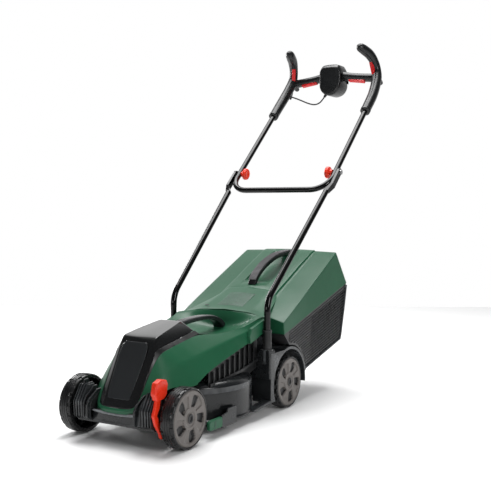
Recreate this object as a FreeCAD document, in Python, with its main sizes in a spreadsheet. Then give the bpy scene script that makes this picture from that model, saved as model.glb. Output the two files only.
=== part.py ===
import FreeCAD, Part
import math
import os
import Sketcher
from FreeCAD import Vector as V, Rotation, Placement

# Walk-behind battery rotary mower with a folding handle, a rear grass box and a rod-linked height adjustment.
# Working axes: X across the machine (+X is the operator's left), -Y is the front, Z is up.
# Parts are laid out from the point on the ground under the front axle, and every sub-part's
# Placement then moves it back by origin_shift, so that the origin is the centre of the footprint.

doc = FreeCAD.newDocument("mower")
sheet = doc.addObject("Spreadsheet::Sheet", "Dimensions")
row = [0]
values = {}


def cell(alias, value):
    row[0] += 1
    sheet.set("A%d" % row[0], alias)
    sheet.set("B%d" % row[0], "%.5g" % value if abs(value) < 1000 else "%.2f" % value)
    sheet.setAlias("B%d" % row[0], alias)
    values[alias] = float("%.5g" % value if abs(value) < 1000 else "%.2f" % value)
    return "Dimensions." + alias


# Driving dimensions, in millimetres.
for alias, value in (
    ("origin_shift", 562.0), ("wheel_radius", 75.0), ("wheel_width", 38.9), ("hub_face", 178.4),
    ("wheel_base", 503.0), ("axle_height", 75.0), ("axle_radius", 5.0), ("bore_radius", 5.06),
    ("crank_arm", 40.0), ("crank_lug", 53.0), ("blade_length", 320.0), ("chamber_radius", 172.0),
    ("blade_centre", 250.0), ("skin", 2.5), ("tube_radius", 9.0), ("tube_bore", 7.6), ("handle_half", 177.0),
    ("pivot_back", 805.4), ("pivot_up", 688.1), ("bolt_radius", 4.0), ("grip_radius", 14.0), ("cable_radius", 2.5),
    ("cap_radius", 68.5), ("cap_pockets", 5.0), ("deck_half", 118.0), ("box_half", 180.0),
):
    cell(alias, value)


def q(name):
    return values[name]


def ex(name, key, value):
    """A size as an expression: text is used as it is, and a number gets a cell of its own."""
    if isinstance(value, str):
        return value
    return cell("%s_%s" % (name, key), float(value))


def put(o, name, base, shift=False):
    exprs = []
    for axis, value in zip("xyz", base):
        e = ex(name, "at_" + axis, value)
        if axis == "y" and shift:
            e = "%s - Dimensions.origin_shift" % e
        o.setExpression("Placement.Base." + axis, e)
        exprs.append(e)
    return o


def box(name, x0, x1, y0, y1, z0, z1):
    o = doc.addObject("Part::Box", name)
    o.setExpression("Length", ex(name, "length", x1 - x0))
    o.setExpression("Width", ex(name, "width", y1 - y0))
    o.setExpression("Height", ex(name, "height", z1 - z0))
    return put(o, name, (x0, y0, z0))


TURN = {"Z": Rotation(), "X": Rotation(V(0, 1, 0), 90), "Y": Rotation(V(1, 0, 0), -90)}


def cyl(name, radius, length, base, axis="Z", rot=None):
    o = doc.addObject("Part::Cylinder", name)
    o.setExpression("Radius", ex(name, "radius", radius))
    o.setExpression("Height", ex(name, "length", length))
    o.Placement = Placement(V(0, 0, 0), rot or TURN[axis])
    return put(o, name, base)


def fuse(name, items):
    if len(items) == 1:
        return items[0]
    o = doc.addObject("Part::MultiFuse", name)
    o.Shapes = items
    return o


def cut(name, base, tools):
    o = doc.addObject("Part::Cut", name)
    o.Base = base
    o.Tool = fuse(name + "_tools", tools)
    return o


def common(name, a, b):
    o = doc.addObject("Part::Common", name)
    o.Base = a
    o.Tool = b
    return o


def group(name, items):
    o = doc.addObject("Part::Compound", name)
    o.Links = items
    return o


def outline(sk, name, pts):
    """A closed outline whose corners are held by distances bound to the sheet."""
    n = len(pts)
    sk.addGeometry([Part.LineSegment(V(*pts[i], 0), V(*pts[(i + 1) % n], 0)) for i in range(n)], False)
    cons = [Sketcher.Constraint("Coincident", i, 2, (i + 1) % n, 1) for i in range(n)]
    for i, (a, b) in enumerate(pts):
        cons.append(Sketcher.Constraint("DistanceX", -1, 1, i, 1, float(a)))
        cons.append(Sketcher.Constraint("DistanceY", -1, 1, i, 1, float(b)))
    first = sk.ConstraintCount
    sk.addConstraint(cons)
    for i, (a, b) in enumerate(pts):
        letter = chr(97 + i % 26) * (1 + i // 26)
        sk.setExpression("Constraints[%d]" % (first + n + 2 * i), cell("%s_c%s_u" % (name, letter), a))
        sk.setExpression("Constraints[%d]" % (first + n + 2 * i + 1), cell("%s_c%s_v" % (name, letter), b))


def prism(name, pts, x0, x1):
    """A side profile in (Y, Z), extruded from x0 to x1."""
    sk = doc.addObject("Sketcher::SketchObject", name + "_outline")
    outline(sk, name, pts)
    sk.Placement = Placement(V(x0, 0, 0), Rotation(V(1, 1, 1), 120))
    o = doc.addObject("Part::Extrusion", name)
    o.Base = sk
    o.DirMode = "Normal"
    o.Solid = True
    o.setExpression("LengthFwd", ex(name, "width", x1 - x0))
    return o


def plane_of(body, role):
    return [f for f in body.Origin.OriginFeatures if f.Role == role][0]


def pd_sketch(body, name, role, pts):
    sk = body.newObject("Sketcher::SketchObject", name)
    sk.AttachmentSupport = [(plane_of(body, role), "")]
    sk.MapMode = "FlatFace"
    outline(sk, name, pts)
    return sk


def revolved(label, pts):
    """A turned piece: pts are (along the axis, radius), and the axis is X."""
    body = doc.addObject("PartDesign::Body", label)
    sk = pd_sketch(body, label + "_section", "XY_Plane", pts)
    rev = body.newObject("PartDesign::Revolution", label + "_turned")
    rev.Profile = sk
    rev.ReferenceAxis = (sk, ["H_Axis"])
    rev.Angle = 360
    return body


def padded(label, pts, length, role="YZ_Plane"):
    body = doc.addObject("PartDesign::Body", label)
    sk = pd_sketch(body, label + "_profile", role, pts)
    pad = body.newObject("PartDesign::Pad", label + "_pad")
    pad.Profile = sk
    pad.setExpression("Length", ex(label, "thick", length))
    return body


finals = []


def done(obj, label, rot=None, base=(0, 0, 0)):
    """Names a sub-part and moves it to the shared origin."""
    if rot is not None:
        obj.Placement = Placement(V(0, 0, 0), rot)
    kind = obj.TypeId
    if kind in ("Part::Box", "Part::Cylinder"):
        old = dict((p, e) for p, e in obj.ExpressionEngine)
        e = old.get(".Placement.Base.y", old.get("Placement.Base.y", "0"))
        obj.setExpression("Placement.Base.y", "%s - Dimensions.origin_shift" % e)
    elif kind == "Part::Feature":
        obj.Placement = Placement(V(0, -q("origin_shift"), 0), Rotation()).multiply(obj.Shape.Placement)
    else:
        put(obj, label + "_place", base, shift=True)
    obj.Label = label
    finals.append(obj)
    return obj


def solid_feature(name, shape):
    o = doc.addObject("Part::Feature", name)
    o.Shape = shape
    return o


def face_wire(pts):
    return Part.makePolygon([V(*p) for p in pts] + [V(*pts[0])])


def loft(sections):
    return Part.makeLoft([face_wire(s) for s in sections], True, True)


def rounded_path(points, radii):
    """Straight runs joined by tangent arcs, as one wire."""
    pts = [V(*p) for p in points]
    edges, start = [], pts[0]
    for i in range(1, len(pts) - 1):
        a = (pts[i - 1] - pts[i]).normalize()
        b = (pts[i + 1] - pts[i]).normalize()
        turn = math.pi - a.getAngle(b)
        reach = radii[i - 1] * math.tan(turn / 2)
        p, r = pts[i] + a * reach, pts[i] + b * reach
        half = (a + b).normalize()
        centre = pts[i] + half * (radii[i - 1] / math.cos(turn / 2))
        mid = centre - half * radii[i - 1]
        edges.append(Part.LineSegment(start, p).toShape())
        edges.append(Part.Arc(p, mid, r).toShape())
        start = r
    edges.append(Part.LineSegment(start, pts[-1]).toShape())
    return Part.Wire(edges)


def pipe(wire, radius):
    first = wire.Edges[0]
    p = first.Vertexes[0].Point
    d = first.tangentAt(first.FirstParameter)
    ring = Part.Wire([Part.makeCircle(radius, p, d)])
    return wire.makePipeShell([ring], True, False)


YW, WB, AH = 0.0, q("wheel_base"), q("axle_height")
W = q("wheel_width")

# ---------------------------------------------------------------- wheels and hub caps
WHEEL = [(0, 66), (0, 73), (3, 75), (W - 5, 75), (W - 1.5, 72.5), (W - 1.5, 69.0), (W - 10, 69.0), (W - 10, 5.06),
         (2, 5.06), (2, 14), (W - 14, 14), (W - 14, 66)]
CAP = [(W - 9.7, 66), (W - 9.7, 68.5), (W - 1.5, 68.5), (W, 66.5), (W, 22), (W - 2, 20), (W - 2, 14.5), (W, 13.5), (W, 9),
       (W - 1.5, 7), (W - 1.5, 0), (W - 4, 0), (W - 4, 66)]


def sector(r0, r1, a0, a1):
    pts = []
    for i in range(4):
        a = math.radians(a0 + (a1 - a0) * i / 3)
        pts.append((r1 * math.cos(a), r1 * math.sin(a)))
    for i in range(3):
        a = math.radians(a1 - 4 + (a0 + 4 - a1 + 4) * i / 2)
        pts.append((r0 * math.cos(a), r0 * math.sin(a)))
    return pts


for spot, side, y in (("front_left", 1, YW), ("front_right", -1, YW), ("rear_left", 1, WB), ("rear_right", -1, WB)):
    turn = Rotation() if side > 0 else Rotation(V(0, 0, 1), 180)
    at = (side * (q("hub_face") - W), y, AH)
    wheel = revolved("wheel_" + spot, WHEEL)
    # drainage and grip notches on both edges of the tread
    notch = pd_sketch(wheel, "tread_" + spot, "XY_Plane", [(2.5, 72.6), (2.5, 78), (10.5, 78), (10.5, 72.6)])
    pk = wheel.newObject("PartDesign::Groove", "tread_cut_" + spot)
    pk.Profile = notch
    pk.ReferenceAxis = (notch, ["H_Axis"])
    pk.Angle = 7
    pk.Midplane = True
    pat = wheel.newObject("PartDesign::PolarPattern", "tread_ring_" + spot)
    pat.Originals = [pk]
    pat.Axis = (notch, ["H_Axis"])
    pat.Angle = 360
    pat.Occurrences = 14
    wheel.Tip = pat
    done(wheel, "wheel_" + spot, turn, at)
    cap = revolved("hub_cap_" + spot, CAP)
    win = pd_sketch(cap, "window_" + spot, "YZ_Plane", sector(26, 57, 68, 112))
    pk = cap.newObject("PartDesign::Pocket", "window_cut_" + spot)
    pk.Profile = win
    pk.Type = "ThroughAll"
    pk.Midplane = True
    pat = cap.newObject("PartDesign::PolarPattern", "window_ring_" + spot)
    pat.Originals = [pk]
    pat.Axis = (win, ["N_Axis"])
    pat.Angle = 360
    pat.setExpression("Occurrences", "Dimensions.cap_pockets")
    cap.Tip = pat
    done(cap, "hub_cap_" + spot, turn, at)

# ---------------------------------------------------------------- height adjustment
for end, y in (("front", YW), ("rear", WB)):
    arm = q("crank_arm")
    py = y + arm
    rod = cyl("%s_cross_rod" % end, "Dimensions.axle_radius", 254, (-127, py, "Dimensions.axle_height"), "X")
    bits = [rod]
    for s, n in ((1, "l"), (-1, "r")):
        x0 = 121 if s > 0 else -127
        bits.append(box("%s_arm_%s" % (end, n), x0, x0 + 6, y, py, AH - 9, AH + 9))
        bits.append(cyl("%s_arm_eye_%s" % (end, n), 9, 6, (x0, y, "Dimensions.axle_height"), "X"))
        bits.append(cyl("%s_arm_boss_%s" % (end, n), 9, 6, (x0, py, "Dimensions.axle_height"), "X"))
        bits.append(cyl("%s_stub_%s" % (end, n), "Dimensions.axle_radius", 51, (121 if s > 0 else -172, y, "Dimensions.axle_height"), "X"))
    lug = q("crank_lug")
    bits.append(box("%s_lug" % end, -111.5, -108, py - 6, py + 6, AH, AH + lug))
    bits.append(cyl("%s_lug_eye" % end, 6, 3.5, (-111.5, py, AH + lug), "X"))
    bits.append(cyl("%s_lug_pin" % end, 3, 7.5, (-111, py, AH + lug), "X"))
    if end == "front":
        bits.append(prism("lever_lug", [(0, 66), (0, 84), (-44, 52), (-57, 46), (-57, 32), (-42, 32)], 121, 127))
    done(fuse("%s_crank_part" % end, bits), "%s_crank" % end)
    # spring washers that keep the wheels on, under the hub caps
    rings = []
    for s, n in ((1, "l"), (-1, "r")):
        x0 = q("hub_face") - 9.6 if s > 0 else -q("hub_face") + 8.1
        disc = cyl("%s_clip_disc_%s" % (end, n), 10, 1.5, (x0, y, AH), "X")
        hole = cyl("%s_clip_hole_%s" % (end, n), "Dimensions.axle_radius", 4, (x0 - 1, y, AH), "X")
        rings.append(cut("%s_clip_%s" % (end, n), disc, [hole]))
    done(group("%s_clips" % end, rings), "%s_axle_clips" % end)

lever_stem = prism("lever_stem", [(-60, 130), (-66, 106), (-74, 92), (-64, 72), (-50, 52), (-43, 33), (-57, 31), (-62, 46), (-78, 68), (-88, 92), (-78, 110), (-74, 130)], 127.0, 134.0)
lever_pad = prism("lever_pad", [(-50, 126), (-44, 136), (-43, 164), (-49, 173), (-66, 176), (-79, 168), (-81, 140), (-76, 126)], 121, 137.5)
done(fuse("lever_body", [lever_stem, lever_pad]), "height_lever")

bushes = []
for n, x, y in (("fl", 112, 40), ("fr", -118, 40), ("rl", 112, WB + 40), ("rr", -118, WB + 40)):
    bushes.append(cut("bush_" + n, cyl("bush_body_" + n, 8, 6, (x, y, AH), "X"), [cyl("bush_bore_" + n, "Dimensions.bore_radius", 8, (x - 1, y, AH), "X")]))
done(group("bush_set", bushes), "crank_bushes")

link = fuse("link_bar_shape", [box("link_bar", -107.5, -103.5, 40, WB + 40, AH + 53 - 3.5, AH + 53 + 3.5),
                               cyl("link_eye_front", 7, 4, (-107.5, 40, AH + 53), "X"), cyl("link_eye_rear", 8, 4, (-107.5, WB + 40, AH + 53), "X")])
done(cut("link_part", link, [cyl("link_hole_front", 3.06, 6, (-108.5, 40, AH + 53), "X"), cyl("link_hole_rear", 3.5, 6, (-108.5, WB + 40, AH + 53), "X")]), "height_link")

# ---------------------------------------------------------------- deck
BC = q("blade_centre")
outer = [
    cyl("deck_ring", "Dimensions.chamber_radius", 87, (0, BC, 28)),
    box("deck_front", -118, 118, -66, 130, 50, 84),
    prism("chute_outer", [(330, 60), (330, 115), (430, 205), (560, 205), (560, 96), (450, 60)], -100, 100),
    box("deck_bulkhead", -118, 118, 424, 430, 40, 115),
]
inner = [
    cyl("chamber_hole", 168, 92, (0, BC, 20)),
    box("front_hollow", -112, 112, -60, 96, 45, 81),
    prism("chute_inner", [(322, 40), (322, 112), (432, 202), (562, 202), (562, 99.5), (452, 63.5), (424, 63.5), (400, 40)], -96, 96),
    cyl("spindle_hole", 8, 12, (0, BC, 108)),
    box("lug_slot", -113, -101, 2, 78, 78, 86),
]
for s, n in ((1, "left"), (-1, "right")):
    def bx(nm, x0, x1, *rest):
        return box(nm + "_" + n, *((x0, x1) if s > 0 else (-x1, -x0)), *rest)
    arch = cyl("fender_arch_" + n, 102, 60, (118 if s > 0 else -178, WB, AH), "X")
    arch = cut("fender_shell_" + n, arch, [bx("fender_below", 110, 185, 380, 503, -40, 80), bx("fender_behind", 110, 185, 500, 620, -40, 92)])
    outer += [
        arch,
        bx("fender_front", 118, 178, 392, 503, 35, 172),
        cyl("tower_" + n, 16, 40, (s * 160, 401, 143)),
        bx("side_plate", 112, 118, 396, 562, 52, 112),
        bx("chute_tie", 98, 120, 430, 500, 166, 172),
        bx("ring_tie", 100, 120, 120, 200, 100, 115),
        prism("corner_ribs_" + n, [(-60, 50), (-80, 62), (-82, 100), (-58, 138), (-34, 138), (-34, 50)], 92 if s > 0 else -119, 119 if s > 0 else -92),
        prism("corner_base_" + n, [(-60, 50), (-78, 60), (-78, 84), (-60, 84)], 70 if s > 0 else -92, 92 if s > 0 else -70),
    ]
    inner += [
        cyl("wheel_well_" + n, 95, 66, (118.0 if s > 0 else -184, WB, AH), "X"),
        cyl("tower_bore_" + n, 9.2, 40, (s * 160, 401, 150)),
        cyl("bush_seat_front_" + n, 8, 8, (111 if s > 0 else -119, 40, AH), "X"),
        cyl("bush_seat_rear_" + n, 8, 8, (111 if s > 0 else -119, WB + 40, AH), "X"),
    ]
    for k, x in enumerate((96.5, 105, 113)):
        inner.append(bx("rib_gap_" + "abc"[k], x, x + 4, -95, -40, 62, 160))
done(cut("deck_part", fuse("deck_outer", outer), inner), "deck_housing")

combs = []
for s, n in ((1, "left"), (-1, "right")):
    x0 = 170 if s > 0 else -178
    combs.append(fuse("comb_" + n, [box("comb_block_" + n, x0, x0 + 8, 86, 142, 24, 50), box("comb_tab_" + n, x0 + (3 if s > 0 else 0), x0 + (8 if s > 0 else 5), 142, 210, 20, 66)]))
    combs[-1] = fuse("comb_full_" + n, [combs[-1], cut("comb_foot_cut_" + n, box("comb_foot_" + n, *((140, 173) if s > 0 else (-173, -140)), 160, 200, 34, 44), [cyl("comb_foot_round_" + n, 172.0, 30, (0, BC, 28))])])
done(group("comb_set", combs), "grass_combs")

# ---------------------------------------------------------------- top cover, a lofted shell
# station: Y, bottom (half width, Z), widest (half width, Z), crease (half width, Z), top (half width, Z)
STATIONS = [
    (-69, (40, 86), (44, 89), (42, 92), (30, 95)),
    (-50, (70, 86), (72, 96), (62, 118), (54, 122)),
    (-30, (86, 90), (88, 112), (68, 150), (56, 158)),
    (0, (104, 118), (106, 132), (72, 192), (58, 205)),
    (40, (119, 124), (121, 137), (76, 222), (60, 244)),
    (97, (130, 130), (132, 138), (80, 236), (60, 256)),
    (142, (136, 150), (138, 158), (84, 247), (64, 264)),
    (196, (138, 164), (140, 173), (90, 250), (70, 262)),
    (260, (140, 181), (142, 190), (106, 250), (80, 254)),
    (340, (143, 202), (145, 211), (125, 252), (90, 258)),
    (390, (145, 215), (147, 224), (138, 268), (88, 276)),
    (438, (146, 228), (148, 237), (138, 270), (84, 281)),
]


def ring_of(st, inset):
    y, b, w, c, t = st
    y2 = y + (inset if y < -60 else 0) - (0 if y < 400 else -inset)
    half = [(b[0] - inset, b[1] - (0.1 if inset else 0)), (w[0] - inset, w[1] - inset * 0.3), (c[0] - inset, c[1] - inset), (t[0] - inset, t[1] - inset)]
    pts = [(x, y2, z) for x, z in half] + [(-x, y2, z) for x, z in reversed(half)]
    return pts


cover_outer = solid_feature("cover_outer", loft([ring_of(s, 0) for s in STATIONS]))
cover_inner = solid_feature("cover_inner", loft([ring_of(s, q("skin")) for s in STATIONS]))
cover_under = box("cover_under", -160, 160, -60, 436, 60, 86.2)
lid_gap = prism("lid_opening", [(-90, 91), (-90, 330), (180, 330), (180, 228), (60, 200), (-46, 91)], -69, 69)
tray_gap = box("tray_opening", -62, 62, 180.5, 434, 222, 300)
cover_shell = cut("cover_shell", cover_outer, [cover_inner, cover_under, lid_gap, tray_gap])
tray = cut("tray", box("tray_outer", -62.5, 62.5, 180, 434, 222, 262), [box("tray_inner", -60, 60, 182.5, 431.5, 224.5, 270)])
tray_in = common("tray_trimmed", tray, cover_outer)
# room for the flap's front edge as it turns, and for the height link at its highest setting
flap_swing = common("flap_swing", cyl("flap_swing_round", 28.8, 278, (-139, 447, 262), "X"), box("flap_swing_limit", -139, 139, 410, 450, 241, 300))
link_relief = box("link_relief", -118, -101.5, -6, 52, 100, 137)
done(cut("cover_cleared", fuse("cover_part", [cover_shell, tray_in]), [flap_swing, link_relief]), "top_cover")

# black textured surround beside the lid
band = [(-56, 96), (18, 228), (46, 246), (178, 264), (178, 236), (50, 216), (-44, 93)]
surround = fuse("surround_shape", [prism("band_left", band, 60.3, 68.5), prism("band_right", band, -68.5, -60.3), box("band_rear", -68.5, 68.5, 172, 178, 240, 262)])
done(surround, "lid_surround")

# glossy lid over the battery bay, hinged on its rear edge
lid_solid = prism("lid_solid", [(-66, 94), (24, 252), (32, 256.5), (166, 281), (171, 278), (171, 262), (50, 226), (-50, 94)], -60, 60)
lid_space = prism("lid_space", [(-62.6, 90), (26, 249.6), (33.4, 253.8), (164.5, 277.6), (168.4, 275.6), (168.4, 246), (50, 216), (-46, 84)], -57.5, 57.5)
lid_knuckle = cyl("lid_knuckle", 2.2, 56, (-28, 169.5, 279), "X")
done(fuse("lid_hinged", [cut("lid_part", lid_solid, [lid_space]), lid_knuckle]), "battery_lid")

# battery pack and its dock, leaning with the lid's front face
LEAN = Rotation(V(1, 0, 0), -29.15)
U, N = LEAN.multVec(V(0, 0, 1)), LEAN.multVec(V(0, 1, 0))
P0 = V(0, -37.1, 128.4)


def leaning(name, x0, x1, n0, n1, u0, u1):
    o = doc.addObject("Part::Box", name)
    o.setExpression("Length", ex(name, "length", x1 - x0))
    o.setExpression("Width", ex(name, "width", n1 - n0))
    o.setExpression("Height", ex(name, "height", u1 - u0))
    o.Placement = Placement(V(0, 0, 0), LEAN)
    at = P0 + N * n0 + U * u0
    return put(o, name, (x0, at.y, at.z))


pack = fuse("pack_shape", [leaning("pack_case", -38, 38, 0, 58, 0, 92), leaning("pack_top", -35, 35, 3, 55, 90, 105)])
done(pack, "battery_pack")
dock = cut("dock_part", leaning("dock_block", -44, 44, -1.8, 63, -12, 34), [leaning("dock_pocket", -38.4, 38.4, -0.4, 58.4, 0, 60)])
done(dock, "battery_dock")

done(cut("flap_stop", box("board_plate", 50, 108, 112, 176, 125, 127), [cyl("board_hole", 2, 6, (56, 118, 123))]), "control_board")

# ---------------------------------------------------------------- side louvres
for s, n in ((1, "left"), (-1, "right")):
    x0 = 134 if s > 0 else -138
    panel = prism("louvre_panel_" + n, [(147, 117), (147, 149.5), (362, 206), (362, 152), (340, 124), (300, 117)], x0, x0 + 4)
    slots = []
    for k in range(8):
        y = 160 + 24.5 * k
        slots.append(prism("louvre_slot_%s_%s" % ("abcdefgh"[k], n), [(y, 124 if y < 300 else 124 + (y - 300) * 0.55), (y, 149.5 + (y - 147) * 0.2628 - 7), (y + 12, 149.5 + (y + 12 - 147) * 0.2628 - 7), (y + 12, 124 if y + 12 < 300 else 124 + (y + 12 - 300) * 0.55)], x0 - 1, x0 + 5))
    done(cut("louvre_part_" + n, panel, slots), "side_louvre_" + n)

# ---------------------------------------------------------------- carry handle on the cover
HAND = [(186, 224.6), (186, 262), (212, 271), (260, 277), (318, 278.5), (365, 273), (400, 261), (422, 242), (427, 224.6), (394, 224.6), (386, 240), (356, 250), (300, 255), (242, 252), (220, 242), (214, 224.6)]
done(padded("carry_handle", HAND, 30.0), "carry_handle", None, (-15, 0, 0))

# ---------------------------------------------------------------- motor, spindle and blade
motor = fuse("motor_shape", [cyl("motor_can", 42, 53, (0, BC, 115)), cyl("motor_flange", 54, 4, (0, BC, 115))])
screws, motor_tools = [], [cyl("motor_bore", 6.06, 60, (0, BC, 113))]
for k in range(4):
    a = math.radians(45 + 90 * k)
    x, y = 48.5 * math.cos(a), BC + 48.5 * math.sin(a)
    motor_tools.append(cyl("motor_hole_" + "abcd"[k], 2.2, 8, (x, y, 113)))
    screws.append(fuse("motor_screw_" + "abcd"[k], [cyl("screw_head_" + "abcd"[k], 3.8, 2.6, (x, y, 119)), cyl("screw_shank_" + "abcd"[k], 2.1, 4.5, (x, y, 115))]))
done(cut("motor_part", motor, motor_tools), "motor")
done(group("motor_screw_set", screws), "motor_screws")
done(cut("shaft_part", cyl("shaft_body", 6, 104, (0, BC, 56)), [cyl("shaft_thread", 4, 16, (0, BC, 55))]), "motor_shaft")
holder = fuse("holder_shape", [cyl("holder_disc", 26, 5, (0, BC, 53)), cyl("holder_hub", 15, 22, (0, BC, 53))])
done(cut("holder_part", holder, [cyl("holder_bore", 6, 20, (0, BC, 56)), cyl("holder_thread", 4.1, 6, (0, BC, 52))]), "blade_holder")
BL = q("blade_length") / 2
blade = padded("blade", [(-23, -60), (-20, -BL + 22), (-20, -BL + 4), (6, -BL + 1), (20, -BL + 30), (23, -60), (23, 60), (20, BL - 22), (20, BL - 4), (-6, BL - 1), (-20, BL - 30), (-23, 60)], 3.0, "XY_Plane")
hole = blade.newObject("Sketcher::SketchObject", "blade_hole")
hole.AttachmentSupport = [(plane_of(blade, "XY_Plane"), "")]
hole.MapMode = "FlatFace"
hole.addGeometry(Part.Circle(V(0, 0, 0), V(0, 0, 1), 4.1), False)
hole.addConstraint([Sketcher.Constraint("Coincident", 0, 3, -1, 1), Sketcher.Constraint("Radius", 0, 4.1)])
hole.setExpression("Constraints[1]", cell("blade_hole_radius", 4.1))
pk = blade.newObject("PartDesign::Pocket", "blade_hole_cut")
pk.Profile = hole
pk.Type = "ThroughAll"
pk.Midplane = True
done(blade, "blade", None, (0, BC, 50))
done(fuse("bolt_shape", [cyl("blade_bolt_head", 11, 7.5, (0, BC, 42.5)), cyl("blade_bolt_shank", 4, 20, (0, BC, 50))]), "blade_bolt")

# ---------------------------------------------------------------- lower handle tubes
PY, PZ = q("pivot_back"), q("pivot_up")
SL = 0.9185
for s, n in ((1, "left"), (-1, "right")):
    x_end = 160 + 0.053 * 338
    path = rounded_path([(s * 160, 401, 152), (s * 160, 401, 318.7), (s * x_end, 738, 318.7 + SL * 337)], [70])
    tube = pipe(path, q("tube_radius")).cut(pipe(path, q("tube_bore")))
    d = V(0, 1, SL).normalize()
    up = V(0, -d.z, d.y)

    def rect(cx, yc, half_x, half_w):
        c = V(s * cx, yc, 318.7 + SL * (yc - 401))
        return [tuple(c + V(a * half_x, 0, 0) + up * (b * half_w)) for a, b in ((-1, -1), (1, -1), (1, 1), (-1, 1))]
    neck = loft([rect(x_end, 736, 7.6, 7.6), rect(190.6, 757, 4.0, 10.5)])
    plate = loft([rect(190.6, 756.5, 4.0, 10.5), rect(190.6, PY, 4.0, 10.5)])
    eye = Part.makeCylinder(10.5, 8, V(186.6 if s > 0 else -194.6, PY, 318.7 + SL * (PY - 401)), V(1, 0, 0))
    shape = tube.fuse([neck, plate, eye])
    shape = shape.cut(Part.makeCylinder(q("bolt_radius") + 0.1, 30, V(180 if s > 0 else -210, PY, PZ), V(1, 0, 0)))
    done(solid_feature("lower_tube_%s_shape" % n, shape.removeSplitter()), "lower_tube_" + n)
sleeves = []
for s, n in ((1, "left"), (-1, "right")):
    body = fuse("sleeve_body_" + n, [cyl("sleeve_low_" + n, 12.4, 53, (s * 160, 401, 183.2)), cyl("sleeve_lip_" + n, 13.4, 4, (s * 160, 401, 232.2))])
    sleeves.append(cut("sleeve_" + n, body, [cyl("sleeve_bore_" + n, 9.1, 60, (s * 160, 401, 181))]))
done(group("sleeve_set", sleeves), "tube_sleeves")
bolts = []
for s, n in ((1, "left"), (-1, "right")):
    x0 = 148 if s > 0 else -195
    bolts.append(fuse("pivot_bolt_" + n, [cyl("pivot_shank_" + n, "Dimensions.bolt_radius", 47, (x0, PY, PZ), "X"), cyl("pivot_head_" + n, 8, 4, (194.8 if s > 0 else -198.8, PY, PZ), "X")]))
done(group("bolt_set", bolts), "handle_bolts")

# ---------------------------------------------------------------- upper handle
HX = q("handle_half")
S2 = 0.912
top_y = 1100
zt = lambda y: 683.2 + S2 * (y - 800)
upath = rounded_path([(HX, top_y, zt(top_y)), (HX, 745, zt(745)), (-HX, 745, zt(745)), (-HX, top_y, zt(top_y))], [62, 62])
ushape = pipe(upath, q("tube_radius")).cut(pipe(upath, q("tube_bore")))
ushape = ushape.cut(Part.makeCylinder(q("bolt_radius") + 0.06, 440, V(-220, PY, PZ), V(1, 0, 0)))
done(solid_feature("upper_tube_shape", ushape), "upper_tube")

HORN = [(HX, 1041, zt(1041)), (HX, 1108, zt(1108)), (166, 1176, 1040), (158, 1162, 1096), (136, 1084, 1134)]
PADN = V(-0.438, -0.847, -0.304)
for s, n in ((1, "left"), (-1, "right")):
    path = rounded_path([(s * x, y, z) for x, y, z in HORN], [60, 42, 52])
    grip = pipe(path, q("grip_radius"))
    tip = [e for e in grip.Edges if (e.CenterOfMass - V(s * 136, 1084, 1134)).Length < 1.0]
    grip = grip.makeFillet(10.5, tip)
    a = V(s * HX, 1030, zt(1030))
    d = V(0, 1, S2).normalize()
    grip = grip.cut(Part.makeCylinder(q("tube_radius") + 0.05, (top_y - 1030) / d.y + 0.5, a, d))
    # trigger pad in the inner front face of the upright grip
    nrm = V(s * PADN.x, PADN.y, PADN.z).normalize()
    along = (V(s * 158, 1162, 1096) - V(s * 166, 1176, 1040)).normalize()
    across = nrm.cross(along).normalize()
    nrm = along.cross(across).normalize()
    rot = Rotation(along, across, nrm, "XYZ")
    centre = V(s * 160.5, 1164, 1067)
    pocket = Part.makeBox(45, 13.8, 20, V(-22.5, -6.9, 3.6))
    pocket.Placement = Placement(centre, rot)
    if s > 0:
        left_grip = grip.cut(pocket)
        grip = left_grip
    else:
        grip = left_grip.mirror(V(0, 0, 0), V(1, 0, 0))
    done(solid_feature("grip_%s_shape" % n, grip), "grip_" + n)
    pad = Part.makeBox(44, 13, 9.6, V(-22, -6.5, 8.0))
    pad = pad.makeFillet(2.0, [e for e in pad.Edges if all(v.Point.z > 17 for v in e.Vertexes)])
    pad.Placement = Placement(centre, rot)
    pad2 = solid_feature("horn_pad_%s_shape" % n, pad)
    base = pad2.Placement
    pad2.Placement = Placement(V(base.Base.x, base.Base.y - q("origin_shift"), base.Base.z), base.Rotation)
    pad2.Label = "horn_trigger_" + n
    finals.append(pad2)
    print("horn trigger press axis", n, [round(-c, 4) for c in nrm])

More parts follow.
